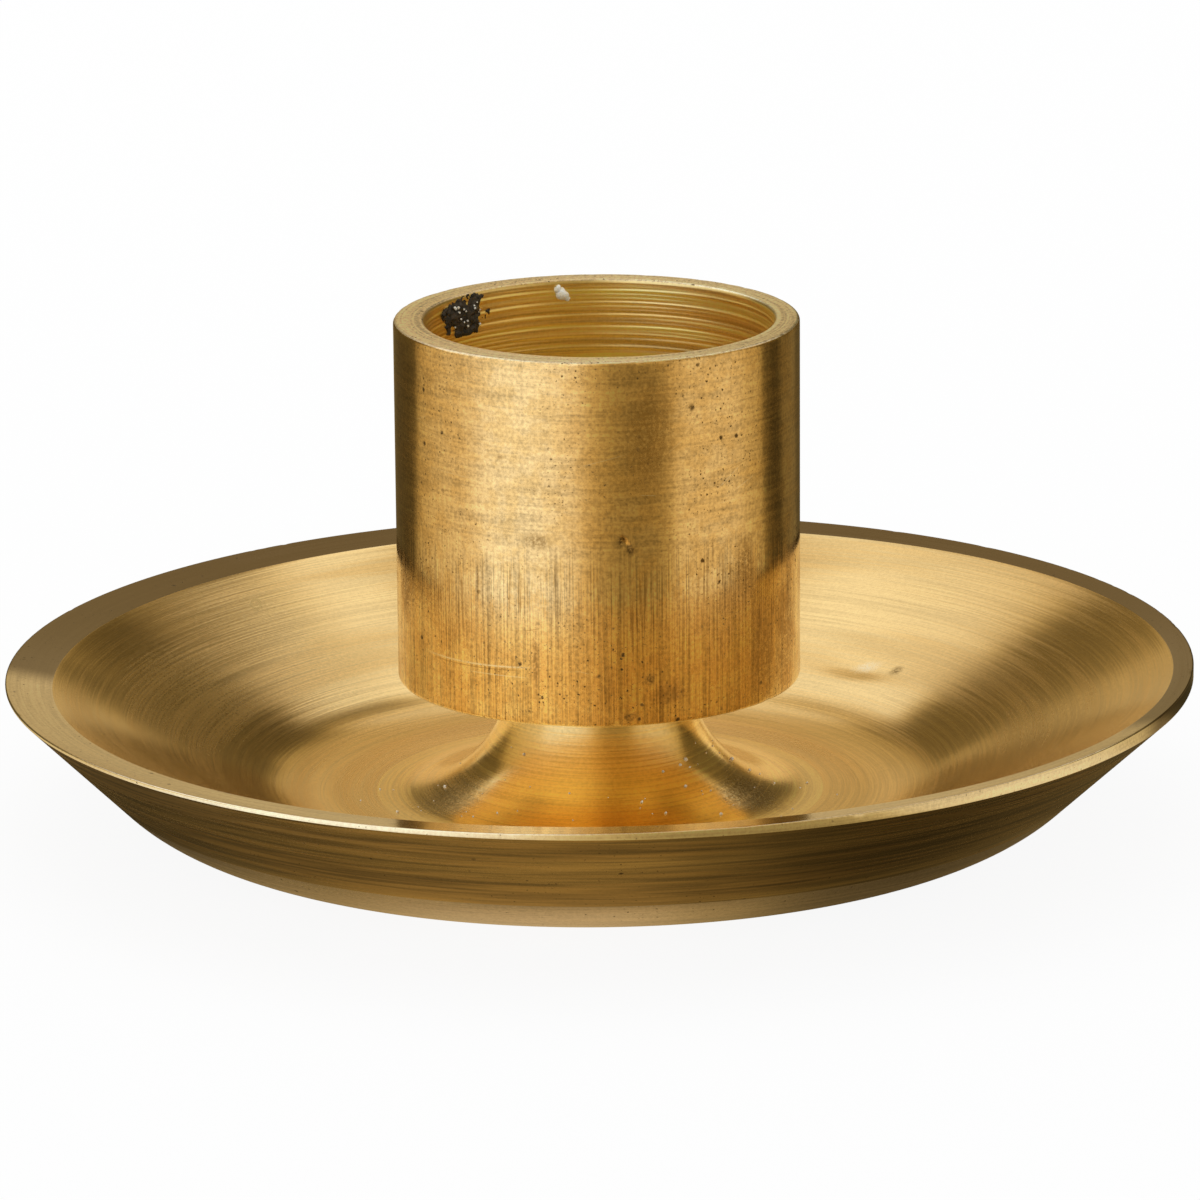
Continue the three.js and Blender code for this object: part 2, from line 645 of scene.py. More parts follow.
class MarkShape(Enum):
    """Outline of a mark."""

    SPOT = "spot"
    RING = "ring"


@dataclass(frozen=True)
class Mark:
    """A mark at one place, for stains, painted shade and painted highlights alike: an ellipsoid of space, in
    millimetres, that tints the surface inside it.
    """

    centre: Point
    reach: Point
    colour: Colour
    strength: float
    shape: MarkShape = MarkShape.SPOT

    FRAYING = 0.7

    def mask(self, bench: ShaderBench) -> Socket:
        """Where the mark shows.

        Args:
            bench: the material's bench.

        Returns:
            0 outside the mark, up to its strength inside.
        """
        shifted = bench.vector_maths("SUBTRACT", bench.place(), self.centre)
        size = bench.vector_maths("LENGTH", bench.vector_maths("DIVIDE", shifted, self.reach))
        ragged = bench.noise(bench.place(), scale=2.2, detail=3.0)
        distance = bench.maths("MULTIPLY_ADD", ragged, self.FRAYING, size)
        if self.shape is MarkShape.RING:
            distance = bench.maths("ABSOLUTE", bench.maths("SUBTRACT", distance, 1.0))
            return bench.level(distance, 0.35, 0.1, 0.0, self.strength)
        specks = bench.noise(bench.place(), scale=5.5, detail=3.0, roughness=0.6)
        speckled = bench.level(specks, 0.36, 0.58, 0.3, 1.0)
        return bench.maths("MULTIPLY", bench.level(distance, 1.6, 0.55, 0.0, self.strength), speckled)


BRIGHT_SCORE = (1.0, 0.95, 0.80)
DARK_SCORE = (0.30, 0.17, 0.04)


@dataclass(frozen=True)
class Scratch:
    """A fine line scored into a round wall, placed by its turn from the front and its height.

    Lengths are in millimetres. turn is in degrees from the front, to the right; slope is the rise along the
    line, bow the sag of its middle, and radius that of the wall.
    """

    turn: float
    height: float
    length: float
    width: float
    slope: float = 0.0
    bow: float = 0.0
    strength: float = 0.6
    colour: Colour = (0.95, 0.76, 0.44)
    radius: float = 13.0

    CORE = 0.03
    WAVER = 0.06

    def mask(self, bench: ShaderBench) -> Socket:
        """Where the scratch shows.

        Args:
            bench: the material's bench.

        Returns:
            0 off the line, up to its strength on it.
        """
        x, y, z = bench.axes()
        angle = bench.maths("ARCTAN2", x, bench.maths("MULTIPLY", y, -1.0))
        turned = bench.maths("SUBTRACT", angle, math.radians(self.turn))
        along = bench.maths("MULTIPLY", turned, self.radius)
        up = bench.maths("SUBTRACT", z, self.height)
        half = 0.5 * self.length
        across = bench.maths("MULTIPLY_ADD", along, -self.slope, up)
        bent = bench.maths("MULTIPLY", bench.maths("MULTIPLY", along, along), self.bow / half**2)
        gap = bench.maths("ABSOLUTE", bench.maths("SUBTRACT", across, bent))
        ragged = bench.noise(bench.place(), scale=5.0)
        wavering = bench.maths("MULTIPLY_ADD", ragged, self.WAVER, gap)
        thin = bench.level(wavering, self.width + self.CORE, self.CORE)
        ends = bench.level(bench.maths("ABSOLUTE", along), half, 0.55 * half)
        broken = bench.level(ragged, 0.35, 0.55, 0.4, self.strength)
        return bench.maths("MULTIPLY", bench.maths("MULTIPLY", thin, ends), broken)


def hairlines(seed: int, count: int) -> tuple[Scratch, ...]:
    """Fine scratches at random over the front of the cup.

    Args:
        seed: seed of the random choice.
        count: how many.

    Returns:
        The scratches.
    """
    draw = np.random.default_rng(seed)
    width = 0.035
    made = []
    for _ in range(count):
        turn = draw.uniform(-70.0, 70.0)
        height = draw.uniform(11.0, 32.0)
        length = draw.uniform(0.8, 3.2)
        slope = 0.5 * draw.normal()
        strength = draw.uniform(0.3, 0.6)
        colour = DARK_SCORE if draw.random() < 0.4 else BRIGHT_SCORE
        made.append(Scratch(turn, height, length, width, slope, strength=strength, colour=colour))
    return tuple(made)


def merged(bench: ShaderBench, marks: tuple[Mark | Scratch, ...], roughening: float) -> list[ColourLayer]:
    """Merges marks of the same colour.

    Args:
        bench: the material's bench.
        marks: the marks.
        roughening: how much they roughen the surface.

    Returns:
        One layer for each colour.
    """
    laid = []
    for colour in dict.fromkeys(mark.colour for mark in marks):
        masks = (mark.mask(bench) for mark in marks if mark.colour == colour)
        laid.append((bench.most(masks), colour, roughening))
    return laid


@dataclass(frozen=True)
class Tool:
    """A tool, by the lines that it leaves round a turned surface.

    Attributes:
        cuts: sets of lines, each as its lines for each millimetre, the millimetres over which a line keeps
            its strength, and its weight.
        softness: how softly light and dark lines part.
    """

    cuts: tuple[tuple[float, float, float], ...]
    softness: float = 0.14

    def lines(self, bench: ShaderBench) -> Socket:
        """The lines.

        Args:
            bench: the material's bench.

        Returns:
            A value from 0 to 1.
        """
        made = [(bench.round_lines(per_mm, length), weight) for per_mm, length, weight in self.cuts]
        return bench.level(bench.total(*made), 0.5 - self.softness, 0.5 + self.softness)


FINISHING_TOOL = Tool(((0.7, 60.0, 0.12), (3.6, 22.0, 0.30), (8.0, 9.0, 0.58)))
ROUGHING_TOOL = Tool(((0.7, 60.0, 0.12), (1.44, 22.0, 0.30), (3.2, 9.0, 0.58)))
BORING_BAR = Tool(((0.8, 26.0, 0.35), (3.0, 14.0, 0.40), (9.0, 6.0, 0.25)), softness=0.12)


@dataclass(frozen=True)
class BrassFinish:
    """Turned brass, with the dulling of age on top.

    Attributes:
        name: name of the material.
        colour: clean brass.
        dull: colour that it dulls to.
        dullness: share of the surface that is dull.
        roughness: gloss of the clean metal.
        contrast: how far the tool's lines change the brightness.
        relief: depth of the lines.
        mottle: how far fine grain changes the brightness.
        pits: share of the pit cells that hold a pit.
        marks: stains, and patches of painted shade and highlights, at their places.
        brushing: how far the lines stretch reflections across themselves, from 0 to 1.
        tool: the tool that turned it.
    """

    name: str
    colour: Colour
    dull: Colour
    dullness: float
    roughness: float
    contrast: float
    relief: float
    mottle: float = 0.05
    pits: float = 0.0
    marks: tuple[Mark, ...] = ()
    brushing: float = 0.0
    tool: Tool = FINISHING_TOOL

    DULL_ROUGHENING = 0.08
    DULL_SOFTNESS = 0.25
    PATCH_WEIGHT = 0.6
    MARK_ROUGHENING = 0.2
    PIT_ROUGHENING = 0.35
    PIT_COLOUR = (0.07, 0.04, 0.012)
    # Cells for each millimetre, share of the finish's pits, radius in cells, and darkness
    PIT_KINDS = ((2.3, 1.0, 0.20, 1.0), (0.8, 0.6, 0.15, 1.0), (4.6, 0.8, 0.28, 0.7))
    PIT_GRAIN = 6.0
    PIT_FRAYING = 0.22

    def lines(self, bench: ShaderBench) -> Socket:
        """The lines that the tool left, as a value from 0 to 1."""
        return self.tool.lines(bench)

    def patches(self, bench: ShaderBench) -> Socket:
        """Where the brass dulls first, in bands round the axis, as a value from 0 to 1."""
        return bench.level(bench.round_lines(per_mm=0.22, length=34.0, detail=3.0), 0.34, 0.66)

    def dulling(self, bench: ShaderBench, lines: Socket) -> Socket:
        """Where the brass has gone dull.

        Args:
            bench: the material's bench.
            lines: the tool's lines, which hold the dirt.

        Returns:
            A value from 0 to 1.
        """
        aged = bench.total((self.patches(bench), self.PATCH_WEIGHT), (lines, 1.0 - self.PATCH_WEIGHT))
        middle = 1.0 - self.dullness
        return bench.level(aged, middle - self.DULL_SOFTNESS, middle + self.DULL_SOFTNESS)

    def clean(self, bench: ShaderBench) -> Feed:
        """The clean metal's colour."""
        return self.colour

    def gloss(self, bench: ShaderBench) -> Feed:
        """The clean metal's roughness."""
        return self.roughness

    def stains_and_painted_shading(self, bench: ShaderBench) -> list[ColourLayer]:
        """What lies on the metal, with any painted shade and highlights among the marks.

        Args:
            bench: the material's bench.

        Returns:
            For each layer, where it shows, its colour and how much it roughens the surface.
        """
        laid = merged(bench, self.marks, self.MARK_ROUGHENING)
        if self.pits > 0.0:
            laid.append((self.pitting(bench), self.PIT_COLOUR, self.PIT_ROUGHENING))
        return laid

    def pitting(self, bench: ShaderBench) -> Socket:
        """Small dark pits, thickest where a broad cloud lies.

        Args:
            bench: the material's bench.

        Returns:
            0 outside a pit, up to 1 inside.
        """
        grain = bench.node("ShaderNodeTexNoise")
        bench.feed(grain.inputs["Vector"], bench.place())
        grain.inputs["Scale"].default_value = self.PIT_GRAIN
        shift = bench.scaled(grain.outputs["Color"], self.PIT_FRAYING)
        ragged = bench.vector_maths("ADD", bench.place(), shift)
        kinds = []
        for per_mm, share, radius, strength in self.PIT_KINDS:
            specks = bench.specks(bench.scaled(ragged, per_mm), share * self.pits, radius)
            kinds.append(bench.maths("MULTIPLY", specks, strength))
        cloud = bench.level(bench.noise(bench.place(), scale=0.13), 0.38, 0.56, 0.2, 0.9)
        return bench.maths("MULTIPLY", bench.most(iter(kinds)), cloud)

    def material(self) -> bpy.types.Material:
        """Builds the material.

        Returns:
            The material.
        """
        bench = ShaderBench(self.name)
        lines = self.lines(bench)
        dulled = self.dulling(bench, lines)
        grain = bench.noise(bench.place(), scale=4.5, detail=3.0, roughness=0.65)
        grain = bench.level(grain, 0.3, 0.7)
        colour = bench.tint(dulled, self.clean(bench), self.dull)
        flat = 1.0 - self.contrast - self.mottle
        brightness = bench.maths("MULTIPLY_ADD", lines, 2.0 * self.contrast, flat)
        brightness = bench.maths("MULTIPLY_ADD", grain, 2.0 * self.mottle, brightness)
        colour = bench.scaled(colour, brightness)
        rough = bench.maths("MULTIPLY_ADD", dulled, self.DULL_ROUGHENING, self.gloss(bench))
        height = lines
        for mask, layer_colour, roughening in self.stains_and_painted_shading(bench):
            colour = bench.tint(mask, colour, layer_colour)
            if roughening > 0.0:
                rough = bench.maths("MULTIPLY_ADD", mask, roughening, rough)
                height = bench.maths("SUBTRACT", height, mask)
        bench.feed(bench.surface.inputs["Base Color"], colour)
        bench.feed(bench.surface.inputs["Roughness"], rough)
        bench.surface.inputs["Metallic"].default_value = 1.0
        if self.brushing > 0.0:
            bench.brush(self.brushing)
        bench.bump(height, self.relief)
        return bench.material


@dataclass(frozen=True)
class DishFinish(BrassFinish):
    """The inside of the dish, duller towards the neck, where no cloth reaches."""

    floor_roughness: float = 0.22
    polished_from: float = 16.0 * MM
    polished_to: float = 23.0 * MM

    def gloss(self, bench: ShaderBench) -> Feed:
        """The clean metal's roughness, which falls from the neck outwards."""
        reach = bench.vector_maths("LENGTH", bench.stretched(1.0, 1.0, 0.0))
        return bench.level(reach, self.polished_from / MM, self.polished_to / MM,
                           self.floor_roughness, self.roughness)


@dataclass(frozen=True)
class RimFinish(BrassFinish):
    """The rim, darkened towards the back and right by painted shade that stands in for the dark reflection
    there.
    """

    painted_back_shade: Colour = (0.16, 0.10, 0.035)
    heading: float = 13.0
    unshaded_to: float = -11.0 * MM
    fully_shaded_from: float = -7.0 * MM
    coverage: float = 0.92

    def stains_and_painted_shading(self, bench: ShaderBench) -> list[ColourLayer]:
        """The painted shade at the back and right, and what lies on any brass.

        Args:
            bench: the material's bench.

        Returns:
            For each layer, where it shows, its colour and how much it roughens the surface.
        """
        # Painted shade: the colour darkens towards the back and right, standing in for the dark reflection
        # there.
        turn = math.radians(self.heading)
        behind = bench.vector_maths("DOT_PRODUCT", bench.place(), (math.sin(turn), math.cos(turn), 0.0))
        back_shade_mask = bench.level(behind, self.unshaded_to / MM, self.fully_shaded_from / MM, 0.0, self.coverage)
        return [(back_shade_mask, self.painted_back_shade, 0.0)] + super().stains_and_painted_shading(bench)


@dataclass(frozen=True)
class DrawnFinish(BrassFinish):
    """The outside of the cup: draw lines of the bar low down, rubbed over with round lines near the mouth."""

    rubbed_from: float = 18.5 * MM
    rubbed_to: float = 21.5 * MM
    ragged: float = 6.0 * MM
    streaks: float = 0.55
    scratches: tuple[Scratch, ...] = ()
    # Painted light: the cup is painted paler low down, offsetting the dimmer, more orange reflection of the
    # dish there.
    low_painted_light: Colour = (0.90, 0.67, 0.33)
    low_light_from: float = 19.0 * MM
    low_light_to: float = 15.0 * MM
    low_roughness: float = 0.2

    PATCH_WEIGHT = 0.65
    STREAK_COLOUR = (0.20, 0.105, 0.022)
    STREAK_ROUGHENING = 0.1

    def low(self, bench: ShaderBench) -> Socket:
        """0 high on the cup and 1 low down, where the rag never reached and the cup is painted paler."""
        _, _, height = bench.axes()
        return bench.level(height, self.low_light_from / MM, self.low_light_to / MM)

    def clean(self, bench: ShaderBench) -> Feed:
        """The clean metal's colour, painted paler low on the cup as painted light."""
        return bench.tint(self.low(bench), self.colour, self.low_painted_light)

    def gloss(self, bench: ShaderBench) -> Feed:
        """The clean metal's roughness, duller low on the cup."""
        return bench.level(self.low(bench), 0.0, 1.0, self.roughness, self.low_roughness)

    def rubbed(self, bench: ShaderBench) -> Socket:
        """Where the draw lines are rubbed over.

        Args:
            bench: the material's bench.

        Returns:
            0 on the draw lines and 1 where they are rubbed over.
        """
        _, _, height = bench.axes()
        uneven = bench.noise(bench.stretched(0.9, 0.9, 0.15), scale=1.0)
        edge = bench.maths("MULTIPLY_ADD", uneven, self.ragged / MM, height)
        shift = 0.5 * self.ragged
        return bench.level(edge, (self.rubbed_from + shift) / MM, (self.rubbed_to + shift) / MM)

    def lines(self, bench: ShaderBench) -> Socket:
        """Draw lines low on the cup and round lines near its mouth.

        Args:
            bench: the material's bench.

        Returns:
            A value from 0 to 1.
        """
        drawn = bench.total((bench.upright_lines(3.4, 14.0), 0.3), (bench.upright_lines(9.0, 9.0), 0.7))
        rubbed = bench.total((bench.round_lines(1.3, 8.0), 0.3), (bench.round_lines(5.0, 4.0), 0.5),
                             (bench.upright_lines(5.0, 8.0), 0.2))
        mixed = bench.node("ShaderNodeMix", data_type="FLOAT")
        bench.feed(mixed.inputs[0], self.rubbed(bench))
        bench.feed(mixed.inputs[2], bench.level(drawn, 0.38, 0.62))
        bench.feed(mixed.inputs[3], bench.level(rubbed, 0.36, 0.64, 0.15, 0.85))
        return mixed.outputs[0]

    def patches(self, bench: ShaderBench) -> Socket:
        """Where the brass dulls first, in small clouds, as a value from 0 to 1."""
        clouds = bench.noise(bench.place(), scale=0.5, detail=5.0, roughness=0.68)
        return bench.level(clouds, 0.34, 0.66)

    def stains_and_painted_shading(self, bench: ShaderBench) -> list[ColourLayer]:
        """Dirt in the draw lines, scratches, and what lies on any brass.

        Args:
            bench: the material's bench.

        Returns:
            For each layer, where it shows, its colour and how much it roughens the surface.
        """
        drawn = bench.maths("SUBTRACT", 1.0, self.rubbed(bench))
        streaks = bench.upright_lines(per_mm=6.5, length=5.0, detail=3.0)
        dirt = bench.level(streaks, 0.54, 0.66, 0.0, self.streaks)
        patchy = bench.level(bench.noise(bench.place(), scale=0.22, detail=3.0), 0.42, 0.60, 0.15, 1.0)
        dirt = bench.maths("MULTIPLY", bench.maths("MULTIPLY", dirt, drawn), patchy)
        laid = [(dirt, self.STREAK_COLOUR, self.STREAK_ROUGHENING)]
        laid += super().stains_and_painted_shading(bench)
        return laid + merged(bench, self.scratches, 0.0)


@dataclass(frozen=True)
class WaxFinish:
    """Old candle wax, clear white or burnt black."""

    name: str
    colour: Colour
    shade: Colour
    roughness: float
    translucency: float

    UNEVEN_GLOSS = 0.2
    SCATTERING = (0.6 * MM, 0.5 * MM, 0.4 * MM)
    RELIEF = 0.03 * MM

    def material(self) -> bpy.types.Material:
        """Builds the material.

        Returns:
            The material.
        """
        bench = ShaderBench(self.name)
        clouds = bench.noise(bench.place(), scale=3.0, detail=3.0)
        colour = bench.tint(bench.level(clouds, 0.38, 0.62), self.colour, self.shade)
        bench.feed(bench.surface.inputs["Base Color"], colour)
        rough = bench.level(clouds, 0.3, 0.7, self.roughness, self.roughness + self.UNEVEN_GLOSS)
        bench.feed(bench.surface.inputs["Roughness"], rough)
        bench.surface.inputs["Subsurface Weight"].default_value = self.translucency
        bench.surface.inputs["Subsurface Radius"].default_value = self.SCATTERING
        bench.surface.inputs["Subsurface Scale"].default_value = 1.0
        bench.bump(bench.noise(bench.place(), scale=9.0), self.RELIEF)
        return bench.material


TARNISH = (0.42, 0.25, 0.07)
BROWN_SPOT = (0.32, 0.18, 0.05)
BLACK_SPOT = (0.10, 0.06, 0.02)
# Painted shade: dark patches on the cove to each side of the neck, standing in for dark reflections there.
COVE_PAINTED_SHADE = (
    Mark(on_ring(10.6, -24.0, 2.4), (2.8, 3.2, 2.4), (0.24, 0.15, 0.04), 0.9),
    Mark(on_ring(10.8, 204.0, 2.3), (2.8, 3.2, 2.4), (0.28, 0.18, 0.05), 0.85),
)
DISH_STAINS_AND_PAINTED_LIGHT = COVE_PAINTED_SHADE + (
    # Painted shade: broad darker patches on the dish's left and right, standing in for dark reflections
    # there.
    Mark(on_ring(28.0, 167.0, 5.6), (6.5, 9.0, 4.5), (0.52, 0.36, 0.11), 0.7),
    Mark(on_ring(29.0, -4.0, 6.0), (6.0, 8.0, 4.5), (0.58, 0.40, 0.13), 0.5),
    Mark((-23.31, 22.69, 7.92), (0.5, 0.9, 0.5), (0.55, 0.40, 0.15), 0.6, MarkShape.RING),
    Mark((-24.0, 20.9, 7.4), (0.2, 0.5, 0.3), (0.50, 0.35, 0.12), 0.7),
    # A painted highlight along the dent, and a dark spot beside it.
    Mark((17.8, 18.2, 4.35), (2.0, 0.7, 0.4), (1.0, 0.88, 0.60), 0.7),
    Mark((20.0, 16.6, 4.5), (0.6, 0.5, 0.4), (0.26, 0.17, 0.06), 0.8),
)
DISH_BRASS = DishFinish(
    "dish_brass", colour=(0.92, 0.67, 0.30), dull=(0.86, 0.60, 0.25), dullness=0.4, roughness=0.16,
    contrast=0.11, relief=0.0012 * MM, mottle=0.06, marks=DISH_STAINS_AND_PAINTED_LIGHT, brushing=0.5)
NECK_BRASS = BrassFinish(
    "neck_brass", colour=(0.99, 0.75, 0.34), dull=(0.93, 0.67, 0.27), dullness=0.4, roughness=0.17,
    contrast=0.16, relief=0.0015 * MM, mottle=0.08, marks=COVE_PAINTED_SHADE, brushing=0.4)
# The rim and the band both carry RimFinish's painted shade at the back and right.
RIM_BRASS = RimFinish(
    "rim_brass", colour=(0.92, 0.80, 0.63), dull=(0.82, 0.68, 0.50), dullness=0.35, roughness=0.12,
    contrast=0.14, relief=0.0012 * MM, mottle=0.1, pits=0.2, brushing=0.4)
BAND_BRASS = RimFinish(
    "band_brass", colour=(1.0, 0.87, 0.60), dull=(0.96, 0.81, 0.52), dullness=0.35, roughness=0.1,
    contrast=0.14, relief=0.0015 * MM, mottle=0.1, pits=0.2, brushing=0.3)
WALL_BRASS = BrassFinish(
    "wall_brass", colour=(0.78, 0.55, 0.24), dull=(0.58, 0.39, 0.16), dullness=0.5, roughness=0.22,
    contrast=0.45, relief=0.002 * MM, pits=0.15, brushing=0.4, tool=ROUGHING_TOOL)
# Painted light: the heel is painted pale, standing in for the bright floor that the heel band reflects.
HEEL_BRASS_PAINTED_LIGHT = BrassFinish(
    "heel_brass_painted_light", colour=(0.92, 0.76, 0.60), dull=(0.78, 0.64, 0.51), dullness=0.5, roughness=0.26,
    contrast=0.2, relief=0.002 * MM, mottle=0.1, pits=0.1, brushing=0.3)
FOOT_BRASS = BrassFinish(
    "foot_brass", colour=(0.78, 0.55, 0.24), dull=(0.52, 0.35, 0.14), dullness=0.5, roughness=0.30,
    contrast=0.2, relief=0.003 * MM, pits=0.2, brushing=0.4)
CUP_SCRATCHES = (
    Scratch(-57.0, 27.6, 4.6, 0.05, -0.10, 0.0, 0.55),
    Scratch(-56.0, 27.2, 3.2, 0.04, -0.14, 0.0, 0.45),
    Scratch(-46.0, 24.9, 4.4, 0.05, -0.03, 0.0, 0.5),
    Scratch(-38.0, 12.8, 9.5, 0.1, 0.03, 0.12, 1.0, BRIGHT_SCORE),
    Scratch(-38.0, 12.6, 9.0, 0.06, 0.03, 0.12, 0.6, DARK_SCORE),
    Scratch(-30.0, 12.3, 5.0, 0.05, 0.02, 0.0, 0.8, BRIGHT_SCORE),
    Scratch(-8.0, 12.9, 2.0, 0.05, 0.0, 0.0, 0.4),
    Scratch(-21.0, 15.4, 2.4, 0.05, 0.16, 0.1, 0.5, DARK_SCORE),
    Scratch(22.0, 27.2, 1.1, 0.04, 0.7, 0.0, 0.6),
    Scratch(40.0, 23.2, 2.6, 0.05, 0.04, 0.0, 0.4),
)
CUP_MARKS = (
    Mark((3.3, -12.5, 28.0), (2.1, 1.5, 4.4), TARNISH, 0.8),
    Mark((10.4, -7.8, 12.5), (1.1, 2.4, 3.6), TARNISH, 0.7),
    Mark((11.9, -5.2, 13.0), (1.0, 2.2, 4.5), TARNISH, 0.7),
    Mark((-3.9, -12.4, 21.3), (1.0, 1.0, 0.6), BROWN_SPOT, 0.7),
    Mark((4.6, -12.2, 11.2), (1.3, 1.0, 0.8), BROWN_SPOT, 0.6),
    Mark((-6.1, -11.5, 26.5), (0.25, 0.3, 0.25), BROWN_SPOT, 0.7),
    Mark((-4.0, -12.4, 13.3), (0.25, 0.5, 2.6), BROWN_SPOT, 0.7),
    Mark((9.3, -9.1, 18.5), (0.8, 1.6, 2.6), BROWN_SPOT, 0.6),
    Mark((-12.3, -4.3, 16.0), (0.8, 1.6, 2.6), BROWN_SPOT, 0.6),
    Mark((1.5, -12.9, 21.4), (0.35, 0.4, 0.45), BLACK_SPOT, 0.95),
    Mark((2.0, -12.85, 20.8), (0.35, 0.4, 0.45), BLACK_SPOT, 0.95),
    Mark((3.2, -12.6, 12.25), (0.4, 0.6, 0.4), BLACK_SPOT, 0.8),
    Mark((1.9, -12.85, 9.9), (0.5, 0.6, 0.3), BLACK_SPOT, 0.8),
    Mark((5.9, -11.6, 29.6), (0.25, 0.3, 0.25), BLACK_SPOT, 0.85),
)
CUP_BRASS = DrawnFinish(
    "cup_brass", colour=(0.89, 0.63, 0.29), dull=(0.80, 0.54, 0.22), dullness=0.45, roughness=0.10,
    contrast=0.28, relief=0.001 * MM, mottle=0.2, pits=0.6, marks=CUP_MARKS,
    scratches=CUP_SCRATCHES + hairlines(seed=53, count=14))
MOUTH_BRASS = BrassFinish(
    "mouth_brass", colour=(1.0, 0.86, 0.60), dull=(0.88, 0.71, 0.46), dullness=0.5, roughness=0.34,
    contrast=0.28, relief=0.002 * MM, mottle=0.24, pits=0.5, brushing=0.3)
CUP_BOTTOM_BRASS = BrassFinish(
    "cup_bottom_brass", colour=(0.99, 0.85, 0.56), dull=(0.94, 0.77, 0.46), dullness=0.4, roughness=0.3,
    contrast=0.1, relief=0.002 * MM)
BORE_BRASS = BrassFinish(
    "bore_brass", colour=(1.0, 0.82, 0.40), dull=(0.97, 0.73, 0.30), dullness=0.4, roughness=0.3,
    contrast=0.26, relief=0.004 * MM, brushing=0.3, tool=BORING_BAR)
FASTENER_BRASS = BrassFinish(
    "fastener_brass", colour=(0.78, 0.56, 0.24), dull=(0.48, 0.32, 0.12), dullness=0.45, roughness=0.26,
    contrast=0.1, relief=0.003 * MM)
CLEAR_WAX = WaxFinish(
    "clear_wax", colour=(0.97, 0.92, 0.78), shade=(0.88, 0.78, 0.56), roughness=0.35, translucency=0.3)
BURNT_WAX = WaxFinish(
    "burnt_wax", colour=(0.012, 0.010, 0.009), shade=(0.05, 0.035, 0.02), roughness=0.45, translucency=0.0)


# Pieces


class TrayZone(IntEnum):
    """Zones of the tray, each with its own finish."""

    FOOT = 0
    HEEL = 1
    WALL = 2
    BAND = 3
    RIM = 4
    DISH = 5
    NECK = 6


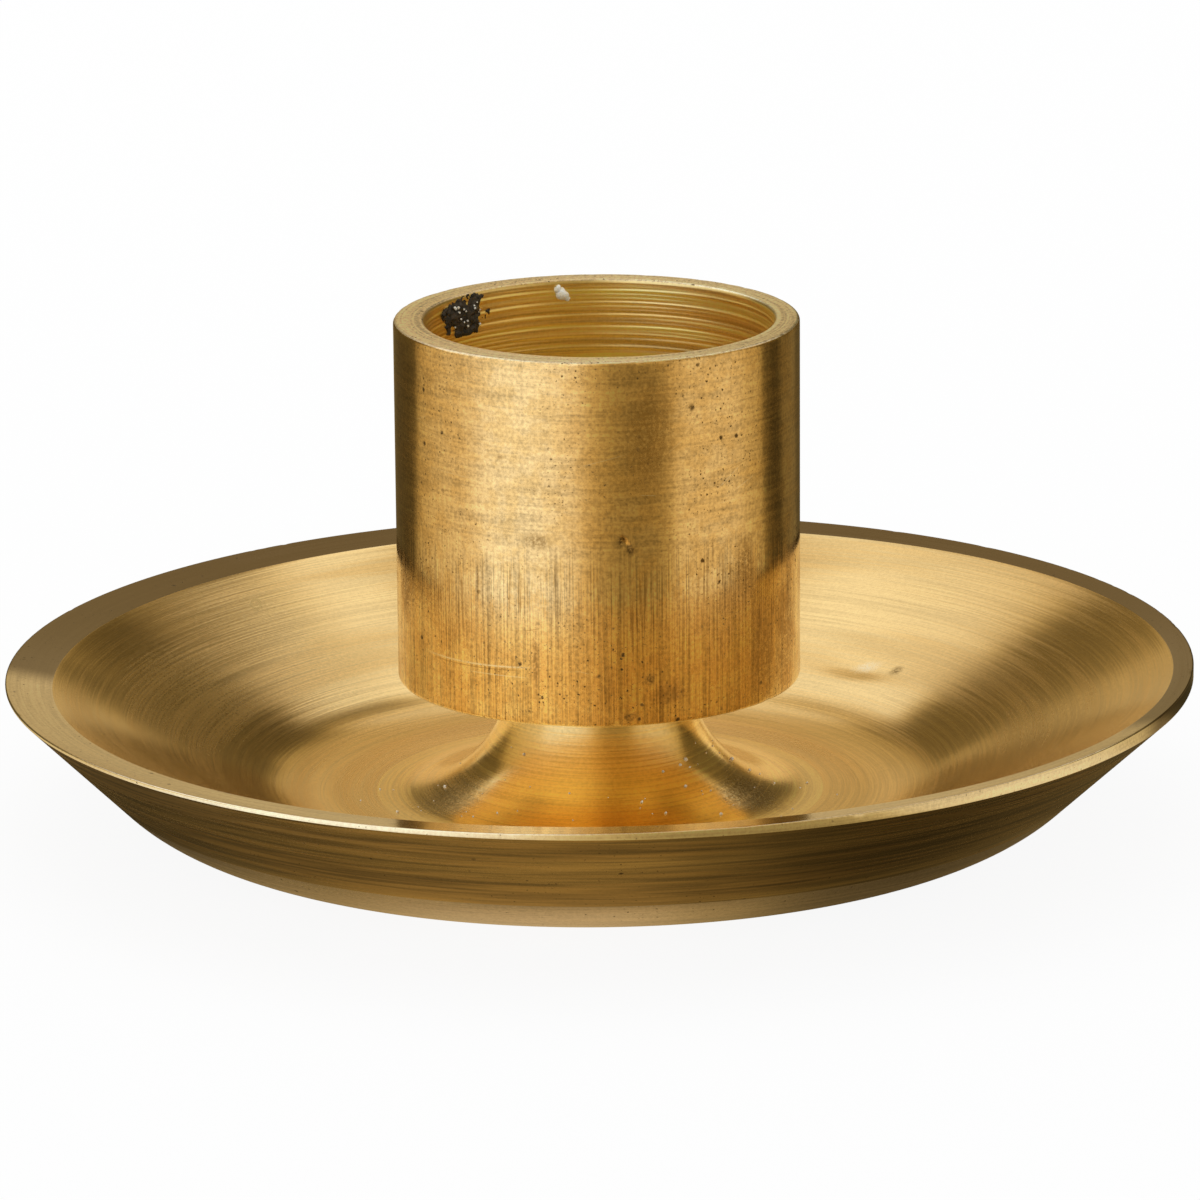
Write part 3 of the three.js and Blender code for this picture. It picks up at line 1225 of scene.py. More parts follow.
@dataclass
class DripTray:
    """The turned drip tray: foot, flared wall, rim, dish, and the neck that carries the cup."""

    rim_radius: float
    rim_height: float
    seat_height: float
    band_bottom: float = 9.62 * MM
    rim_sink: float = 0.04 * MM
    rim_tilt: float = 0.46 * MM
    rim_tilt_towards: float = math.radians(-18)
    rim_rise: float = 0.34 * MM
    rim_rise_change: float = 0.1 * MM
    rim_front_wear: float = 0.2 * MM
    rim_rounding: float = 0.08 * MM
    rim_inside_rounding: float = 0.15 * MM
    dish_floor_radius: float = 20.05 * MM
    dish_floor_height: float = 1.55 * MM
    dish_edge_radius: float = 36.25 * MM
    dish_edge_height: float = 9.8 * MM
    dish_rounding: float = 12.0 * MM
    cove_radius: float = 14.5 * MM
    neck_radius: float = 5.95 * MM
    neck_rounding: float = 7.6 * MM
    heel_radius: float = 29.65 * MM
    heel_height: float = 1.17 * MM
    heel_rounding: float = 9.0 * MM
    heel_shift: float = 0.3 * MM
    heel_top: float = 3.5 * MM
    foot_radius: float = 23.75 * MM
    foot_width: float = 4.0 * MM
    foot_relief: float = 0.4 * MM
    recess_radius: float = 4.8 * MM
    recess_height: float = 3.9 * MM
    hole_radius: float = 2.3 * MM
    edge_break: float = 0.12 * MM
    spokes: int = 720

    def rim_leans(self) -> np.ndarray:
        """How far each spoke lies towards the high side of the rim, which was faced out of true."""
        return np.cos(spoke_angles(self.spokes) - self.rim_tilt_towards)

    def rim_inner_heights(self) -> np.ndarray:
        """Height of the rim's inner edge at each spoke."""
        return self.rim_height - self.rim_sink + self.rim_tilt * self.rim_leans()

    def rim_outer_heights(self) -> np.ndarray:
        """Height of the rim's outer edge at each spoke."""
        in_front = np.maximum(0.0, -np.sin(spoke_angles(self.spokes))) ** 3
        rise = self.rim_rise - self.rim_rise_change * self.rim_leans() - self.rim_front_wear * in_front
        return self.rim_inner_heights() + rise

    def dish_spread(self) -> float:
        """How far the dish's cone widens for its rise."""
        width = self.dish_edge_radius - self.dish_floor_radius
        return width / (self.dish_edge_height - self.dish_floor_height)

    def outline(self) -> list[Corner]:
        """The tray's outline, from the screw recess round the outside to the neck.

        Returns:
            The corners.
        """
        rim = self.rim_inner_heights()
        rim_inside = self.dish_floor_radius + (rim - self.dish_floor_height) * self.dish_spread()
        foot_inside = self.foot_radius - self.foot_width
        break_edge = self.edge_break
        heel = self.heel_radius - self.heel_shift * np.cos(spoke_angles(self.spokes))
        wall_lean = (self.rim_radius - heel) / (self.band_bottom - self.heel_height)
        heel_top_radius = heel + wall_lean * (self.heel_top - self.heel_height)
        return [
            Corner(self.recess_radius, self.foot_relief, break_edge, TrayZone.FOOT),
            Corner(foot_inside - self.foot_relief, self.foot_relief, break_edge, TrayZone.FOOT,
                   spacing=0.2 * MM),
            Corner(foot_inside, 0.0, break_edge, TrayZone.FOOT),
            Corner(self.foot_radius, 0.0, break_edge, TrayZone.HEEL),
            Corner(heel, self.heel_height, self.heel_rounding, TrayZone.HEEL, spacing=0.3 * MM),
            Corner(heel_top_radius, self.heel_top, 0.0, TrayZone.WALL, spacing=0.3 * MM),
            Corner(self.rim_radius, self.band_bottom, break_edge, TrayZone.BAND, spacing=0.15 * MM),
            Corner(self.rim_radius, self.rim_outer_heights(), self.rim_rounding, TrayZone.RIM,
                   spacing=0.15 * MM),
            Corner(rim_inside, rim, self.rim_inside_rounding, TrayZone.DISH, spacing=0.25 * MM),
            Corner(self.dish_floor_radius, self.dish_floor_height, self.dish_rounding, TrayZone.DISH,
                   spacing=0.3 * MM),
            Corner(self.cove_radius, self.dish_floor_height, 0.0, TrayZone.NECK, spacing=0.2 * MM),
            Corner(self.neck_radius, self.dish_floor_height, self.neck_rounding, TrayZone.NECK,
                   spacing=0.2 * MM),
            Corner(self.neck_radius, self.seat_height, break_edge, TrayZone.NECK),
            Corner(self.hole_radius, self.seat_height, 0.0, TrayZone.FOOT),
            Corner(self.hole_radius, self.recess_height, 0.0, TrayZone.FOOT),
            Corner(self.recess_radius, self.recess_height, 0.0, TrayZone.FOOT),
        ]

    def dints(self) -> list[Dint]:
        """Knocks along the rim and in the dish.

        Returns:
            The knocks.
        """
        knocks = edge_nicks(seed=11, count=40, radius=self.rim_radius, height=self.rim_outer_heights(),
                            size=(0.12 * MM, 0.3 * MM), depth=(0.01 * MM, 0.045 * MM))
        dent = Dint(centre=on_ring(25.3 * MM, 47.0, 4.2 * MM), along=on_ring(1.0, 140.0, 0.0),
                    length=2.6 * MM, width=0.7 * MM, depth=0.12 * MM)
        return [*knocks, dent]

    def height_at(self, radius: float) -> float:
        """Height of the cove and dish floor at a distance from the axis."""
        inside = max(0.0, self.neck_radius + self.neck_rounding - radius)
        rise = self.neck_rounding - math.sqrt(max(0.0, self.neck_rounding**2 - inside**2))
        return self.dish_floor_height + rise

    def build(self) -> bpy.types.Object:
        """Builds and dresses the tray.

        Returns:
            The piece.
        """
        surface = TurnedSurface(self.outline(), self.spokes)
        piece = surface.piece("turned_drip_tray", surface.knocked(self.dints()), self.dress())
        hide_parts("drip_tray")
        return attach(piece, BODY)

    def dress(self) -> list[bpy.types.Material]:
        """The tray's finishes, in the order of its zones."""
        finishes = (FOOT_BRASS, HEEL_BRASS_PAINTED_LIGHT, WALL_BRASS, BAND_BRASS, RIM_BRASS, DISH_BRASS, NECK_BRASS)
        return [finish.material() for finish in finishes]


class CupZone(IntEnum):
    """Zones of the cup, each with its own finish."""

    BOTTOM = 0
    OUTSIDE = 1
    MOUTH = 2
    BORE = 3


@dataclass
class CandleCup:
    """The cup cut from drawn bar, bored a little off centre for the candle."""

    radius: float
    bottom: float
    top: float
    bore_radius: float = 11.2 * MM
    bore_shift: float = 0.19 * MM
    socket_floor: float = 4.5 * MM
    socket_rounding: float = 0.8 * MM
    edge_rounding: float = 0.25 * MM
    hole_radius: float = 2.3 * MM
    grooved: float = 8.0 * MM
    groove_depth: float = 0.036 * MM
    groove_pitches: tuple[float, ...] = (0.42 * MM, 0.27 * MM, 0.95 * MM)
    groove_run_in: float = 0.3 * MM
    groove_run_out: float = 2.0 * MM
    groove_patches: float = 1.1 * MM
    nick_sizes: tuple[float, float] = (0.12 * MM, 0.4 * MM)
    spokes: int = 720

    def bore_radii(self) -> np.ndarray:
        """Radius of the bore's wall at each spoke, from the cup's own axis."""
        return self.bore_radius + self.bore_shift * np.cos(spoke_angles(self.spokes))

    def outline(self) -> list[Corner]:
        """The cup's outline, from the screw hole round the outside to the socket floor.

        Returns:
            The corners.
        """
        floor = self.bottom + self.socket_floor
        bore = self.bore_radii()
        edge = self.edge_rounding
        return [
            Corner(self.hole_radius, self.bottom, 0.0, CupZone.BOTTOM),
            Corner(self.radius, self.bottom, edge, CupZone.OUTSIDE, spacing=0.25 * MM),
            Corner(self.radius, self.top, edge, CupZone.MOUTH, spacing=0.2 * MM),
            Corner(bore, self.top, edge, CupZone.BORE, spacing=0.06 * MM),
            Corner(bore, self.top - self.grooved, 0.0, CupZone.BORE, spacing=0.3 * MM),
            Corner(bore, floor, self.socket_rounding, CupZone.BORE, spacing=0.3 * MM),
            Corner(self.hole_radius, floor, 0.1 * MM, CupZone.BORE, spacing=0.4 * MM),
        ]

    def cut_grooves(self, surface: TurnedSurface) -> None:
        """Cuts the boring bar's feed grooves into the bore, deepest near the mouth.

        Args:
            surface: the cup's surface, whose rings are moved.
        """
        below = self.top - surface.z
        near = 0.01 * self.edge_rounding
        wall = np.abs(surface.r - self.bore_radii()) < near
        run_in = np.clip((below - self.edge_rounding) / self.groove_run_in, 0.0, 1.0)
        run_out = np.clip((self.grooved - below) / self.groove_run_out, 0.0, 1.0)
        fade = run_in * run_out
        wave = np.zeros_like(surface.r)
        for turn, pitch in enumerate(self.groove_pitches):
            patchy = 0.65 + 0.35 * np.sin((3 + turn) * surface.angles + below / self.groove_patches + turn)
            wave += patchy * np.sin(math.tau * below / pitch + 0.4 * np.sin(2.0 * surface.angles + turn))
        depth = self.groove_depth * fade * wave / len(self.groove_pitches)
        surface.r = surface.r + np.where(wall, depth, 0.0)

    def dints(self) -> list[Dint]:
        """Knocks along the mouth and bottom edges, and a gouge in front.

        Returns:
            The knocks.
        """
        knocks = edge_nicks(seed=23, count=30, radius=self.radius, height=self.top, size=self.nick_sizes,
                            depth=(0.02 * MM, 0.07 * MM))
        knocks += edge_nicks(seed=29, count=20, radius=self.radius, height=self.bottom, size=self.nick_sizes,
                             depth=(0.02 * MM, 0.06 * MM))
        gouge = Dint(centre=on_ring(self.radius, -82.4, 21.1 * MM), along=(1.0, 0.2, -1.35), length=0.55 * MM,
                     width=0.16 * MM, depth=0.12 * MM)
        return [*knocks, gouge]

    def build(self) -> bpy.types.Object:
        """Builds and dresses the cup.

        Returns:
            The piece.
        """
        surface = TurnedSurface(self.outline(), self.spokes)
        self.cut_grooves(surface)
        piece = surface.piece("drawn_candle_cup", surface.knocked(self.dints()), self.dress())
        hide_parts("candle_cup")
        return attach(piece, BODY)

    def dress(self) -> list[bpy.types.Material]:
        """The cup's finishes, in the order of its zones."""
        return [finish.material() for finish in (CUP_BOTTOM_BRASS, CUP_BRASS, MOUTH_BRASS, BORE_BRASS)]


@dataclass
class Fastening:
    """The slotted screw and the washer under the tray."""

    screw_bottom: float
    screw_top: float
    washer_bottom: float
    washer_top: float
    head_radius: float = 3.5 * MM
    head_height: float = 2.6 * MM
    head_rounding: float = 0.5 * MM
    shank_radius: float = 2.0 * MM
    thread_pitch: float = 0.7 * MM
    thread_depth: float = 0.38 * MM
    tip_chamfer: float = 0.6 * MM
    slot_width: float = 1.2 * MM
    slot_depth: float = 1.1 * MM
    washer_radius: float = 4.5 * MM
    washer_hole: float = 2.15 * MM
    washer_rounding: float = 0.12 * MM
    spokes: int = 96

    def build_screw(self) -> bpy.types.Object:
        """Builds and dresses the screw.

        Returns:
            The piece.
        """
        under_head = self.screw_bottom + self.head_height
        corners = [
            Corner(0.0, self.screw_bottom),
            Corner(self.head_radius, self.screw_bottom, self.head_rounding, spacing=0.3 * MM),
            Corner(self.head_radius, under_head, 0.1 * MM),
            Corner(self.shank_radius, under_head, spacing=0.06 * MM),
            Corner(self.shank_radius, self.screw_top - self.tip_chamfer, spacing=0.06 * MM),
            Corner(self.shank_radius - self.tip_chamfer, self.screw_top, 0.05 * MM, spacing=0.3 * MM),
            Corner(0.0, self.screw_top),
        ]
        surface = TurnedSurface(corners, self.spokes, closed=False)
        turns = (surface.z - under_head) / self.thread_pitch - surface.angles / math.tau
        flank = np.abs(2.0 * (turns % 1.0) - 1.0)
        run_in = np.clip((surface.z - under_head) / self.thread_pitch, 0.0, 1.0)
        on_shank = (surface.z > under_head) & (surface.r > 0.5 * self.shank_radius)
        surface.r = surface.r - np.where(on_shank, self.thread_depth * flank * run_in, 0.0)
        piece = surface.piece("slotted_screw", surface.points(), [FASTENER_BRASS.material()])
        self.cut_slot(piece)
        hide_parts("fixing_screw")
        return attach(piece, BODY)

    def cut_slot(self, screw: bpy.types.Object) -> None:
        """Saws the driver slot across the screw's head.

        Args:
            screw: the turned screw.
        """
        shape = bmesh.new()
        size = (3.0 * self.head_radius, self.slot_width, 2.0 * self.slot_depth)
        place = Matrix.Translation((0.0, 0.0, self.screw_bottom)) @ Matrix.Diagonal((*size, 1.0))
        bmesh.ops.create_cube(shape, size=1.0, matrix=place)
        saw = placed("saw", mesh_from(shape, "saw"))
        cut = screw.modifiers.new("slot", "BOOLEAN")
        cut.operation = "DIFFERENCE"
        cut.solver = "EXACT"
        cut.object = saw
        graph = bpy.context.evaluated_depsgraph_get()
        sawn = bpy.data.meshes.new_from_object(screw.evaluated_get(graph))
        screw.modifiers.clear()
        screw.data = sawn
        bpy.data.objects.remove(saw)

    def build_washer(self) -> bpy.types.Object:
        """Builds and dresses the washer.

        Returns:
            The piece.
        """
        outline = ((self.washer_hole, self.washer_bottom), (self.washer_radius, self.washer_bottom),
                   (self.washer_radius, self.washer_top), (self.washer_hole, self.washer_top))
        corners = [Corner(radius, height, self.washer_rounding, spacing=0.3 * MM)
                   for radius, height in outline]
        surface = TurnedSurface(corners, self.spokes)
        piece = surface.piece("plain_washer", surface.points(), [FASTENER_BRASS.material()])
        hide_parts("washer")
        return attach(piece, BODY)


Sheet = dict[tuple[int, int], bmesh.types.BMVert]


@dataclass
class WaxResidue:
    """What candles left behind: a burnt crust and a bead inside the mouth, and crumbs round the neck."""

    tray: DripTray
    cup: CandleCup
    crust_angle: float = 142.0
    crust_half_angle: float = 13.0
    crust_drop: float = 1.4 * MM
    crust_half_height: float = 1.35 * MM
    crust_depth: float = 0.3 * MM
    crust_root: float = 0.05 * MM
    crust_lumps: float = 0.9 * MM
    crust_columns: int = 120
    crust_rows: int = 60
    bead_angle: float = 101.5
    bead_drop: float = 0.9 * MM
    flecks: int = 18
    fleck_spread: float = 0.6
    fleck_depth: float = 0.28 * MM
    fleck_sizes: tuple[float, float] = (0.03 * MM, 0.09 * MM)
    crumbs: int = 70
    crumb_sizes: tuple[float, float] = (0.04 * MM, 0.14 * MM)
    crumb_gap: float = 0.9 * MM
    crumb_reach: float = 9.0 * MM
    crumb_gathering: float = 1.6
    crumb_sector: tuple[float, float] = (-185.0, 5.0)

    FLECK_SEED = 47
    CRUMB_SEED = 41
    UNEVENNESS = 0.45

    def bore_at(self, degrees: float) -> float:
        """Distance of the bore's wall from the axis at an angle from +X."""
        return self.cup.bore_radius + self.cup.bore_shift * math.cos(math.radians(degrees))

    def build_crust(self) -> bpy.types.Object:
        """Builds the burnt crust as a closed shell that grows out of the bore's wall.

        Returns:
            The piece.
        """
        shape = bmesh.new()
        front: Sheet = {}
        rear: Sheet = {}
        for column in range(self.crust_columns):
            across = 2.0 * column / (self.crust_columns - 1) - 1.0
            for row in range(self.crust_rows):
                up = 2.0 * row / (self.crust_rows - 1) - 1.0
                degrees = self.crust_angle + across * self.crust_half_angle
                height = self.cup.top - self.crust_drop + up * self.crust_half_height
                wall = self.bore_at(degrees)
                place = Vector(on_ring(wall, degrees, height))
                lumps = noise.fractal(place / self.crust_lumps, 0.8, 2.1, 4)
                thickness = 0.75 - across**2 - 0.9 * up**2 + 0.9 * lumps
                if thickness <= 0.0:
                    continue
                depth = self.crust_depth * min(1.0, thickness)
                front[column, row] = shape.verts.new(on_ring(wall - depth, degrees, height))
                rear[column, row] = shape.verts.new(on_ring(wall + self.crust_root, degrees, height))
        self.close_shell(shape, front, rear)
        return self.finish_piece(shape, "burnt_wax_crust", BURNT_WAX)

    def close_shell(self, shape: bmesh.types.BMesh, front: Sheet, rear: Sheet) -> None:
        """Faces the two sides of a sheet and its edge.

        Args:
            shape: the mesh that holds the points.
            front: points of the open side by column and row.
            rear: points of the hidden side by column and row.
        """
        sides: dict[frozenset, tuple] = {}
        for column, row in front:
            loop = [(column, row), (column + 1, row), (column + 1, row + 1), (column, row + 1)]
            if not all(key in front for key in loop):
                continue
            shape.faces.new([front[key] for key in loop])
            shape.faces.new([rear[key] for key in reversed(loop)])
            for start, end in zip(loop, loop[1:] + loop[:1]):
                edge = frozenset((start, end))
                if edge in sides:
                    del sides[edge]
                else:
                    sides[edge] = (start, end)
        for start, end in sides.values():
            shape.faces.new([front[end], front[start], rear[start], rear[end]])
        loose = [vert for vert in shape.verts if not vert.link_faces]
        bmesh.ops.delete(shape, geom=loose, context="VERTS")
        bmesh.ops.recalc_face_normals(shape, faces=shape.faces)

    def build_bead(self) -> bpy.types.Object:
        """Builds the bead of clear wax that ran down inside the mouth.

        Returns:
            The piece.
        """
        shape = bmesh.new()
        wall = self.bore_at(self.bead_angle)
        runs = ((0.0, 0.0, 0.42 * MM), (1.4, 0.35 * MM, 0.26 * MM), (-1.6, -0.3 * MM, 0.2 * MM))
        for turn, rise, size in runs:
            degrees = self.bead_angle + turn
            centre = on_ring(wall - 0.15 * size, degrees, self.cup.top - self.bead_drop + rise)
            self.lump(shape, Vector(centre), size, detail=3)
        draw = np.random.default_rng(self.FLECK_SEED)
        for _ in range(self.flecks):
            degrees = self.crust_angle + self.fleck_spread * self.crust_half_angle * draw.uniform(-1.0, 1.0)
            rise = self.fleck_spread * self.crust_half_height * draw.uniform(-1.0, 1.0)
            height = self.cup.top - self.crust_drop + rise
            centre = on_ring(self.bore_at(degrees) - self.fleck_depth, degrees, height)
            self.lump(shape, Vector(centre), draw.uniform(*self.fleck_sizes), detail=2)
        return self.finish_piece(shape, "wax_bead", CLEAR_WAX)

    def build_crumbs(self) -> bpy.types.Object:
        """Scatters crumbs of clear wax over the cove and the dish floor.

        Returns:
            The piece.
        """
        draw = np.random.default_rng(self.CRUMB_SEED)
        shape = bmesh.new()
        for _ in range(self.crumbs):
            away = self.crumb_gap + self.crumb_reach * draw.random() ** self.crumb_gathering
            radius = self.tray.neck_radius + away
            degrees = draw.uniform(*self.crumb_sector)
            size = self.crumb_sizes[0] + (self.crumb_sizes[1] - self.crumb_sizes[0]) * draw.random() ** 3
            centre = on_ring(radius, degrees, self.tray.height_at(radius) + 0.4 * size)
            self.lump(shape, Vector(centre), size, detail=2)
        return self.finish_piece(shape, "wax_crumbs", CLEAR_WAX)

    def lump(self, shape: bmesh.types.BMesh, centre: Vector, size: float, detail: int) -> None:
        """Adds one uneven lump.

        Args:
            shape: the mesh to add to.
            centre: its middle.
            size: its mean radius.
            detail: how finely it is divided.
        """
        made = bmesh.ops.create_icosphere(shape, subdivisions=detail, radius=size)
        for vert in made["verts"]:
            swell = 1.0 + self.UNEVENNESS * noise.noise(vert.co / size * 0.9 + centre / MM)
            vert.co = centre + vert.co * swell

    def finish_piece(self, shape: bmesh.types.BMesh, name: str, finish: WaxFinish) -> bpy.types.Object:
        """Turns a mesh into a dressed piece.

        Args:
            shape: the mesh, which is freed.
            name: name of the piece.
            finish: its wax.

        Returns:
            The piece.
        """
        mesh = mesh_from(shape, name)
        mesh.shade_smooth()
        mesh.materials.append(finish.material())
        piece = placed(name, mesh)
        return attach(piece, BODY)


# Studio


@dataclass(frozen=True)
class PhotoCamera:
    """A long lens a little above the rim, as the holder was photographed."""

    lens: float = 206.15
    sensor: float = 36.0
    distance: float = 443.83 * MM
    elevation: float = math.radians(15.051)
    roll: float = math.radians(-0.47)
    nearest: float = 0.01
    farthest: float = 20.0
    aim: Point = (0.083 * MM, 0.0, 14.10 * MM)

    def build(self) -> bpy.types.Object:
        """Makes the camera and gives it to the scene.

        Returns:
            The camera.
        """
        data = bpy.data.cameras.new("photo_camera")
        data.lens = self.lens
        data.sensor_width = self.sensor
        data.clip_start = self.nearest
        data.clip_end = self.farthest
        back = Vector((0.0, -math.cos(self.elevation), math.sin(self.elevation)))
        right = Vector((1.0, 0.0, 0.0))
        up = back.cross(right)
        rolled_right = right * math.cos(self.roll) + up * math.sin(self.roll)
        rolled_up = up * math.cos(self.roll) - right * math.sin(self.roll)
        turn = Matrix((rolled_right, rolled_up, back)).transposed().to_4x4()
        camera = placed("photo_camera", data)
        camera.matrix_world = Matrix.Translation(Vector(self.aim) + back * self.distance) @ turn
        bpy.context.scene.camera = camera
        return camera


Card = tuple[float, float]


@dataclass(frozen=True)
class CardRow:
    """Cards that hang in one row round the holder.

    Each card is its heading in degrees from the front, to the right, and its brightness. The row takes over
    from the one below between the lifts start and full, in degrees above the floor.
    """

    start: float
    full: float
    cards: tuple[Card, ...]


@dataclass(frozen=True)
class ReflectorTent:
    """A floor cloth and rows of cards that only reflections see; the darker a card, the warmer its brown."""

    floor_cloth: tuple[Card, ...]
    under_rim_painted_shade: tuple[Card, ...]
    rows: tuple[CardRow, ...]
    radius: float = 0.5
    inner_radius: float = 25.0 * MM
    foot_edge: float = 30.8 * MM
    rim_edge: float = 45.0 * MM
    heel_painted_light: float = 2.1
    foot_softness: float = 0.3 * MM
    rim_softness: float = 5.0 * MM
    whitening: float = 3.0
    brown: Colour = (1.0, 0.72, 0.28)
    above_floor: float = 0.02 * MM
    top_hole: float = 0.1 * MM

    SIDES = 96
    LIFTS = 16

    def build(self) -> bpy.types.Object:
        """Makes the tent.

        Returns:
            The stage object.
        """
        floor_radii = (self.inner_radius, 2.0 * self.rim_edge, self.radius)
        rings = [(radius, self.above_floor) for radius in floor_radii]
        for step in range(1, self.LIFTS + 1):
            lift = math.radians(90.0 * step / self.LIFTS)
            rings.append((max(self.radius * math.cos(lift), self.top_hole), self.radius * math.sin(lift)))
        points = []
        faces = []
        for ring, (radius, height) in enumerate(rings):
            for side in range(self.SIDES):
                points.append(on_ring(radius, 360.0 * side / self.SIDES, height))
                if ring + 1 < len(rings):
                    here = ring * self.SIDES + side
                    there = ring * self.SIDES + (side + 1) % self.SIDES
                    faces.append((here, there, there + self.SIDES, here + self.SIDES))
        mesh = bpy.data.meshes.new("reflector_tent")
        mesh.from_pydata(points, [], faces)
        mesh.materials.append(self.material())
        tent = placed("reflector_tent", mesh)
        tent.visible_camera = False
        tent.visible_diffuse = False
        tent.visible_shadow = False
        tent.visible_transmission = False
        return tent

    def material(self) -> bpy.types.Material:
        """The cloths' glow.

        Returns:
            The material.
        """
        bench = ShaderBench("reflector_cloth")
        parts = bench.node("ShaderNodeSeparateXYZ")
        bench.feed(parts.inputs[0], bench.node("ShaderNodeTexCoord").outputs["Object"])
        across, along, up = parts.outputs
        heading = bench.maths("ARCTAN2", across, bench.maths("MULTIPLY", along, -1.0))
        turn = bench.maths("MULTIPLY_ADD", heading, 1.0 / math.tau, 0.5)
        squares = bench.maths("MULTIPLY_ADD", along, along, bench.maths("MULTIPLY", across, across))
        reach = bench.maths("SQRT", squares)
        lift = bench.maths("ARCTAN2", up, reach)
        glow = self.ramp(bench, turn, self.floor_cloth)
        for row in self.rows:
            share = bench.level(lift, math.radians(row.start), math.radians(row.full))
            glow = bench.blend(share, glow, self.ramp(bench, turn, row.cards))
        # Painted shade and light: within rim_edge the cloth turns dark, standing in for the shaded floor
        # under the tray, and inside foot_edge it brightens for the heel to reflect.
        foot = bench.level(reach, self.foot_edge + self.foot_softness, self.foot_edge - self.foot_softness,
                           1.0, self.heel_painted_light)
        under = bench.maths("MULTIPLY", self.ramp(bench, turn, self.under_rim_painted_shade), foot)
        glow = bench.blend(bench.level(reach, self.rim_edge - self.rim_softness, self.rim_edge), under, glow)
        white = bench.maths("POWER", glow, self.whitening)
        colour = bench.tint(white, self.brown, WHITE)
        bench.feed(bench.surface.inputs["Base Color"], BLACK)
        bench.surface.inputs["Specular IOR Level"].default_value = 0.0
        bench.feed(bench.surface.inputs["Emission Color"], colour)
        bench.feed(bench.surface.inputs["Emission Strength"], glow)
        return bench.material

    def ramp(self, bench: ShaderBench, turn: Socket, cards: tuple[Card, ...]) -> Socket:
        """Brightness of the cards by their heading.

        Args:
            bench: the material's bench.
            turn: heading, from 0 to 1, with the front in the middle.
            cards: the cards, from the left of the back round the front to the right of the back.

        Returns:
            The brightness.
        """
        made = bench.node("ShaderNodeFloatCurve")
        bench.feed(made.inputs["Value"], turn)
        curve = made.mapping.curves[0]
        places = [(heading / 360.0 + 0.5, brightness) for heading, brightness in cards]
        while len(curve.points) < len(places):
            curve.points.new(0.5, 0.5)
        for point, place in zip(curve.points, places):
            point.location = place
        made.mapping.update()
        return made.outputs[0]


@dataclass(frozen=True)
class SoftBox:
    """A soft lamp with a rectangular face, aimed at the foot of the object."""

    name: str
    place: Point
    size: tuple[float, float]
    brightness: float

    def build(self) -> bpy.types.Object:
        """Makes the lamp.

        Returns:
            The lamp.
        """
        data = bpy.data.lights.new(self.name, "AREA")
        data.shape = "RECTANGLE"
        data.size, data.size_y = self.size
        data.energy = self.brightness * math.pi * self.size[0] * self.size[1]
        lamp = placed(self.name, data)
        lamp.visible_glossy = False
        lamp.location = self.place
        lamp.rotation_euler = Vector(self.place).to_track_quat("Z", "Y").to_euler()
        return lamp


# Cards that hang in front, which several rows share
LOW_FRONT = (
    (-117.0, 0.40), (-105.0, 0.58), (-75.0, 0.78), (-50.0, 1.0), (-28.0, 0.97), (0.0, 0.50), (20.0, 0.30),
    (34.0, 0.36), (48.0, 0.70), (70.0, 0.74), (90.0, 0.56), (100.0, 0.44),
)
MIDDLE_FRONT = (
    (-140.0, 0.15), (-124.0, 0.15), (-117.0, 0.42), (-75.0, 0.78), (-50.0, 1.0), (-28.0, 0.97), (0.0, 0.50),
    (20.0, 0.35), (48.0, 0.70), (70.0, 0.74), (100.0, 0.44), (107.0, 0.15),
)
HIGH_FRONT = ((-22.0, 1.0), (2.0, 0.60), (20.0, 0.45), (60.0, 0.55), (110.0, 0.55), (135.0, 0.70))

# Cards of each row, from the left of the back round the front to the right of the back
# Painted shadow: the floor cloth's dip from 0 to 34 degrees, from LOW_FRONT, stands in for the holder's
# shadow on the floor in front.
FLOOR_CLOTH = (
    (-180.0, 0.50), (-178.5, 0.50), (-176.0, 0.48), (-170.0, 0.46), (-166.0, 0.22), (-161.0, 0.13),
    (-145.0, 0.09), (-124.0, 0.10), *LOW_FRONT, (107.0, 0.12), (118.0, 0.07), (126.0, 0.18), (142.0, 0.19),
    (152.0, 0.10), (167.0, 0.12), (171.5, 0.12), (174.5, 0.40), (177.0, 0.50), (180.0, 0.50),
)
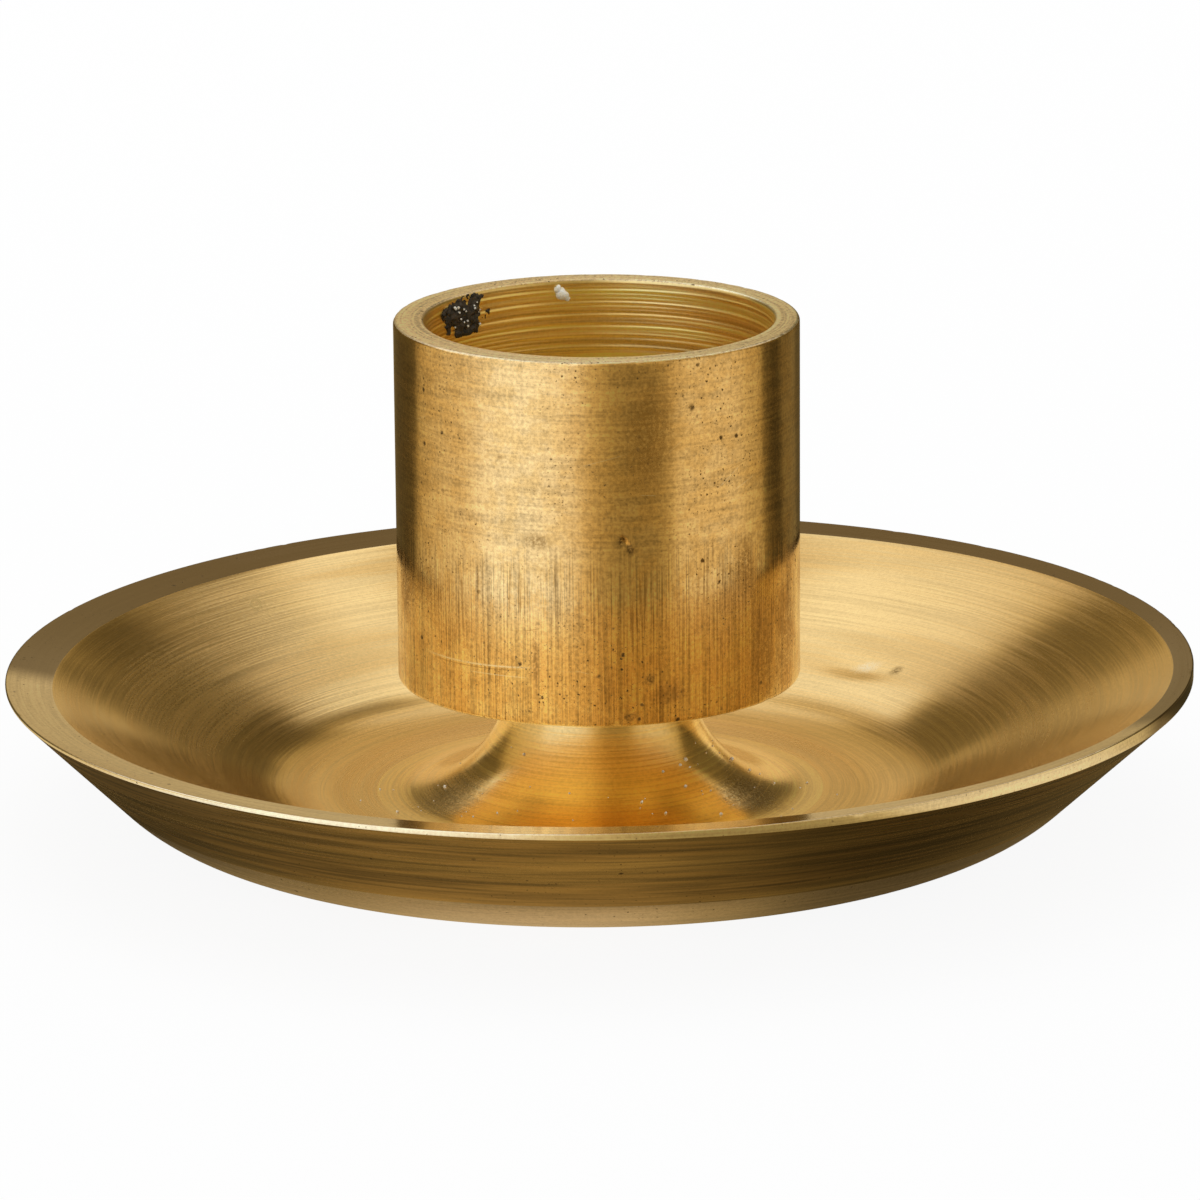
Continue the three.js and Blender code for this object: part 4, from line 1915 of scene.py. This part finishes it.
# Painted shade: the dark ring of cloth under the rim, by heading, standing in for the shaded floor beneath
# the tray.
UNDER_RIM_PAINTED_SHADE = (
    (-180.0, 0.10), (-75.0, 0.06), (-40.0, 0.15), (-5.0, 0.26), (15.0, 0.15), (35.0, 0.05), (75.0, 0.08),
    (180.0, 0.10),
)
CARD_ROWS = (
    CardRow(12.6, 13.4, (
        (-180.0, 0.60), (-177.0, 0.52), (-173.0, 0.46), (-170.0, 0.42), (-166.0, 0.22), (-161.0, 0.13),
        (-145.0, 0.10), (-124.0, 0.10), *LOW_FRONT, (107.0, 0.14), (167.0, 0.14), (171.5, 0.12),
        (174.5, 0.42), (177.0, 0.54), (180.0, 0.60),
    )),
    CardRow(14.9, 15.6, (
        (-180.0, 0.60), (-175.0, 0.52), (-173.0, 0.42), (-168.5, 0.17), *MIDDLE_FRONT, (160.0, 0.12),
        (167.0, 0.10), (171.5, 0.12), (174.5, 0.45), (177.0, 0.55), (180.0, 0.60),
    )),
    CardRow(18.5, 20.5, (
        (-180.0, 0.50), (-173.0, 0.45), (-168.0, 0.16), *MIDDLE_FRONT, (140.0, 0.15), (158.0, 0.09),
        (165.5, 0.09), (169.0, 0.12), (173.0, 0.45), (180.0, 0.50),
    )),
    CardRow(31.5, 36.5, (
        (-180.0, 0.90), (-170.0, 0.85), (-165.0, 0.45), (-158.0, 1.0), *HIGH_FRONT, (145.0, 1.0),
        (156.0, 1.0), (159.0, 0.16), (163.0, 0.16), (169.0, 0.80), (180.0, 0.90),
    )),
    CardRow(46.0, 53.0, ((-180.0, 1.0), *HIGH_FRONT, (150.0, 1.0), (180.0, 1.0))),
    CardRow(58.0, 63.0, (
        (-180.0, 0.50), (-150.0, 0.50), (-119.0, 0.58), (-99.0, 0.9), (-80.0, 1.0), (-23.0, 1.0), (2.0, 0.60),
        (20.0, 0.45), (60.0, 0.54), (95.0, 0.48), (120.0, 0.34), (144.0, 0.40), (180.0, 0.50),
    )),
)


@dataclass
class Studio:
    """A white floor under even light, with a tent of cards that gives the brass something to reflect."""

    floor_radius: float = 4.0
    floor_sides: int = 96
    floor_colour: Colour = (0.90, 0.90, 0.90)
    floor_roughness: float = 0.9
    floor_shine: float = 0.1
    floor_white: float = 0.92
    sky: Colour = (0.86, 0.87, 0.88)
    lamp: SoftBox = SoftBox("back_softbox", place=(-0.08, 0.34, 0.50), size=(0.46, 0.50), brightness=1.02)
    tent: ReflectorTent = ReflectorTent(FLOOR_CLOTH, UNDER_RIM_PAINTED_SHADE, CARD_ROWS)
    mirror_bounces: int = 12

    SEEN_BY = ("Is Camera Ray", "Is Glossy Ray", "Is Transmission Ray")

    def build(self) -> None:
        """Makes the floor, the sky, the lamp and the tent."""
        self.build_floor()
        self.build_sky()
        self.lamp.build()
        self.tent.build()
        bpy.context.scene.view_settings.view_transform = "Standard"
        bpy.context.scene.cycles.glossy_bounces = self.mirror_bounces

    def whitened(self, bench: NodeBench, shader: Socket, white: Socket, share: float) -> Socket:
        """Lays plain white over a shader for the camera and for reflections, where it casts no light.

        Args:
            bench: the material's or the world's bench.
            shader: what lights the object.
            white: the white shader.
            share: how much of the white shows.

        Returns:
            The mixed shader.
        """
        path = bench.node("ShaderNodeLightPath")
        seen = bench.most(path.outputs[name] for name in self.SEEN_BY)
        mixed = bench.node("ShaderNodeMixShader")
        for socket, source in zip(mixed.inputs, (bench.maths("MULTIPLY", seen, share), shader, white)):
            bench.feed(socket, source)
        return mixed.outputs[0]

    def build_floor(self) -> None:
        """Makes the floor, which isn't part of the object: mostly plain white, with a light shadow."""
        shape = bmesh.new()
        bmesh.ops.create_circle(shape, cap_ends=True, radius=self.floor_radius, segments=self.floor_sides)
        mesh = mesh_from(shape, "floor")
        bench = ShaderBench("pale_floor")
        bench.feed(bench.surface.inputs["Base Color"], self.floor_colour)
        bench.surface.inputs["Roughness"].default_value = self.floor_roughness
        bench.surface.inputs["Specular IOR Level"].default_value = self.floor_shine
        white = bench.node("ShaderNodeEmission")
        shader = self.whitened(bench, bench.surface.outputs[0], white.outputs[0], self.floor_white)
        bench.feed(bench.tree.nodes["Material Output"].inputs[0], shader)
        mesh.materials.append(bench.material)
        floor = placed("floor", mesh)

    def build_sky(self) -> None:
        """Makes the even light that fills the room, with white behind the object."""
        world = bpy.data.worlds.new("even_sky")
        world.use_nodes = True
        bench = NodeBench(world.node_tree)
        light = bench.tree.nodes["Background"]
        bench.feed(light.inputs["Color"], self.sky)
        white = bench.node("ShaderNodeBackground")
        bench.feed(white.inputs["Color"], WHITE)
        shader = self.whitened(bench, light.outputs[0], white.outputs[0], 1.0)
        bench.feed(bench.tree.nodes["World Output"].inputs[0], shader)
        bpy.context.scene.world = world


def main() -> None:
    """Builds the holder, its residue and the studio in order."""
    logging.basicConfig(level=logging.INFO, format="%(name)s: %(message)s")
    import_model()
    _, tray_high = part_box("drip_tray")
    cup_low, cup_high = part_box("candle_cup")
    screw_low, screw_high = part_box("fixing_screw")
    washer_low, washer_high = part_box("washer")
    tray = DripTray(tray_high.x, tray_high.z, cup_low.z)
    cup = CandleCup(cup_high.x, cup_low.z, cup_high.z)
    fastening = Fastening(screw_low.z, screw_high.z, washer_low.z, washer_high.z)
    residue = WaxResidue(tray, cup)
    makers = (tray.build, cup.build, fastening.build_screw, fastening.build_washer,
              residue.build_crust, residue.build_bead, residue.build_crumbs)
    for make in makers:
        piece = make()
        log.info("%s: %d faces", piece.name, len(piece.data.polygons))
    Studio().build()
    PhotoCamera().build()


if __name__ == "__main__":
    main()
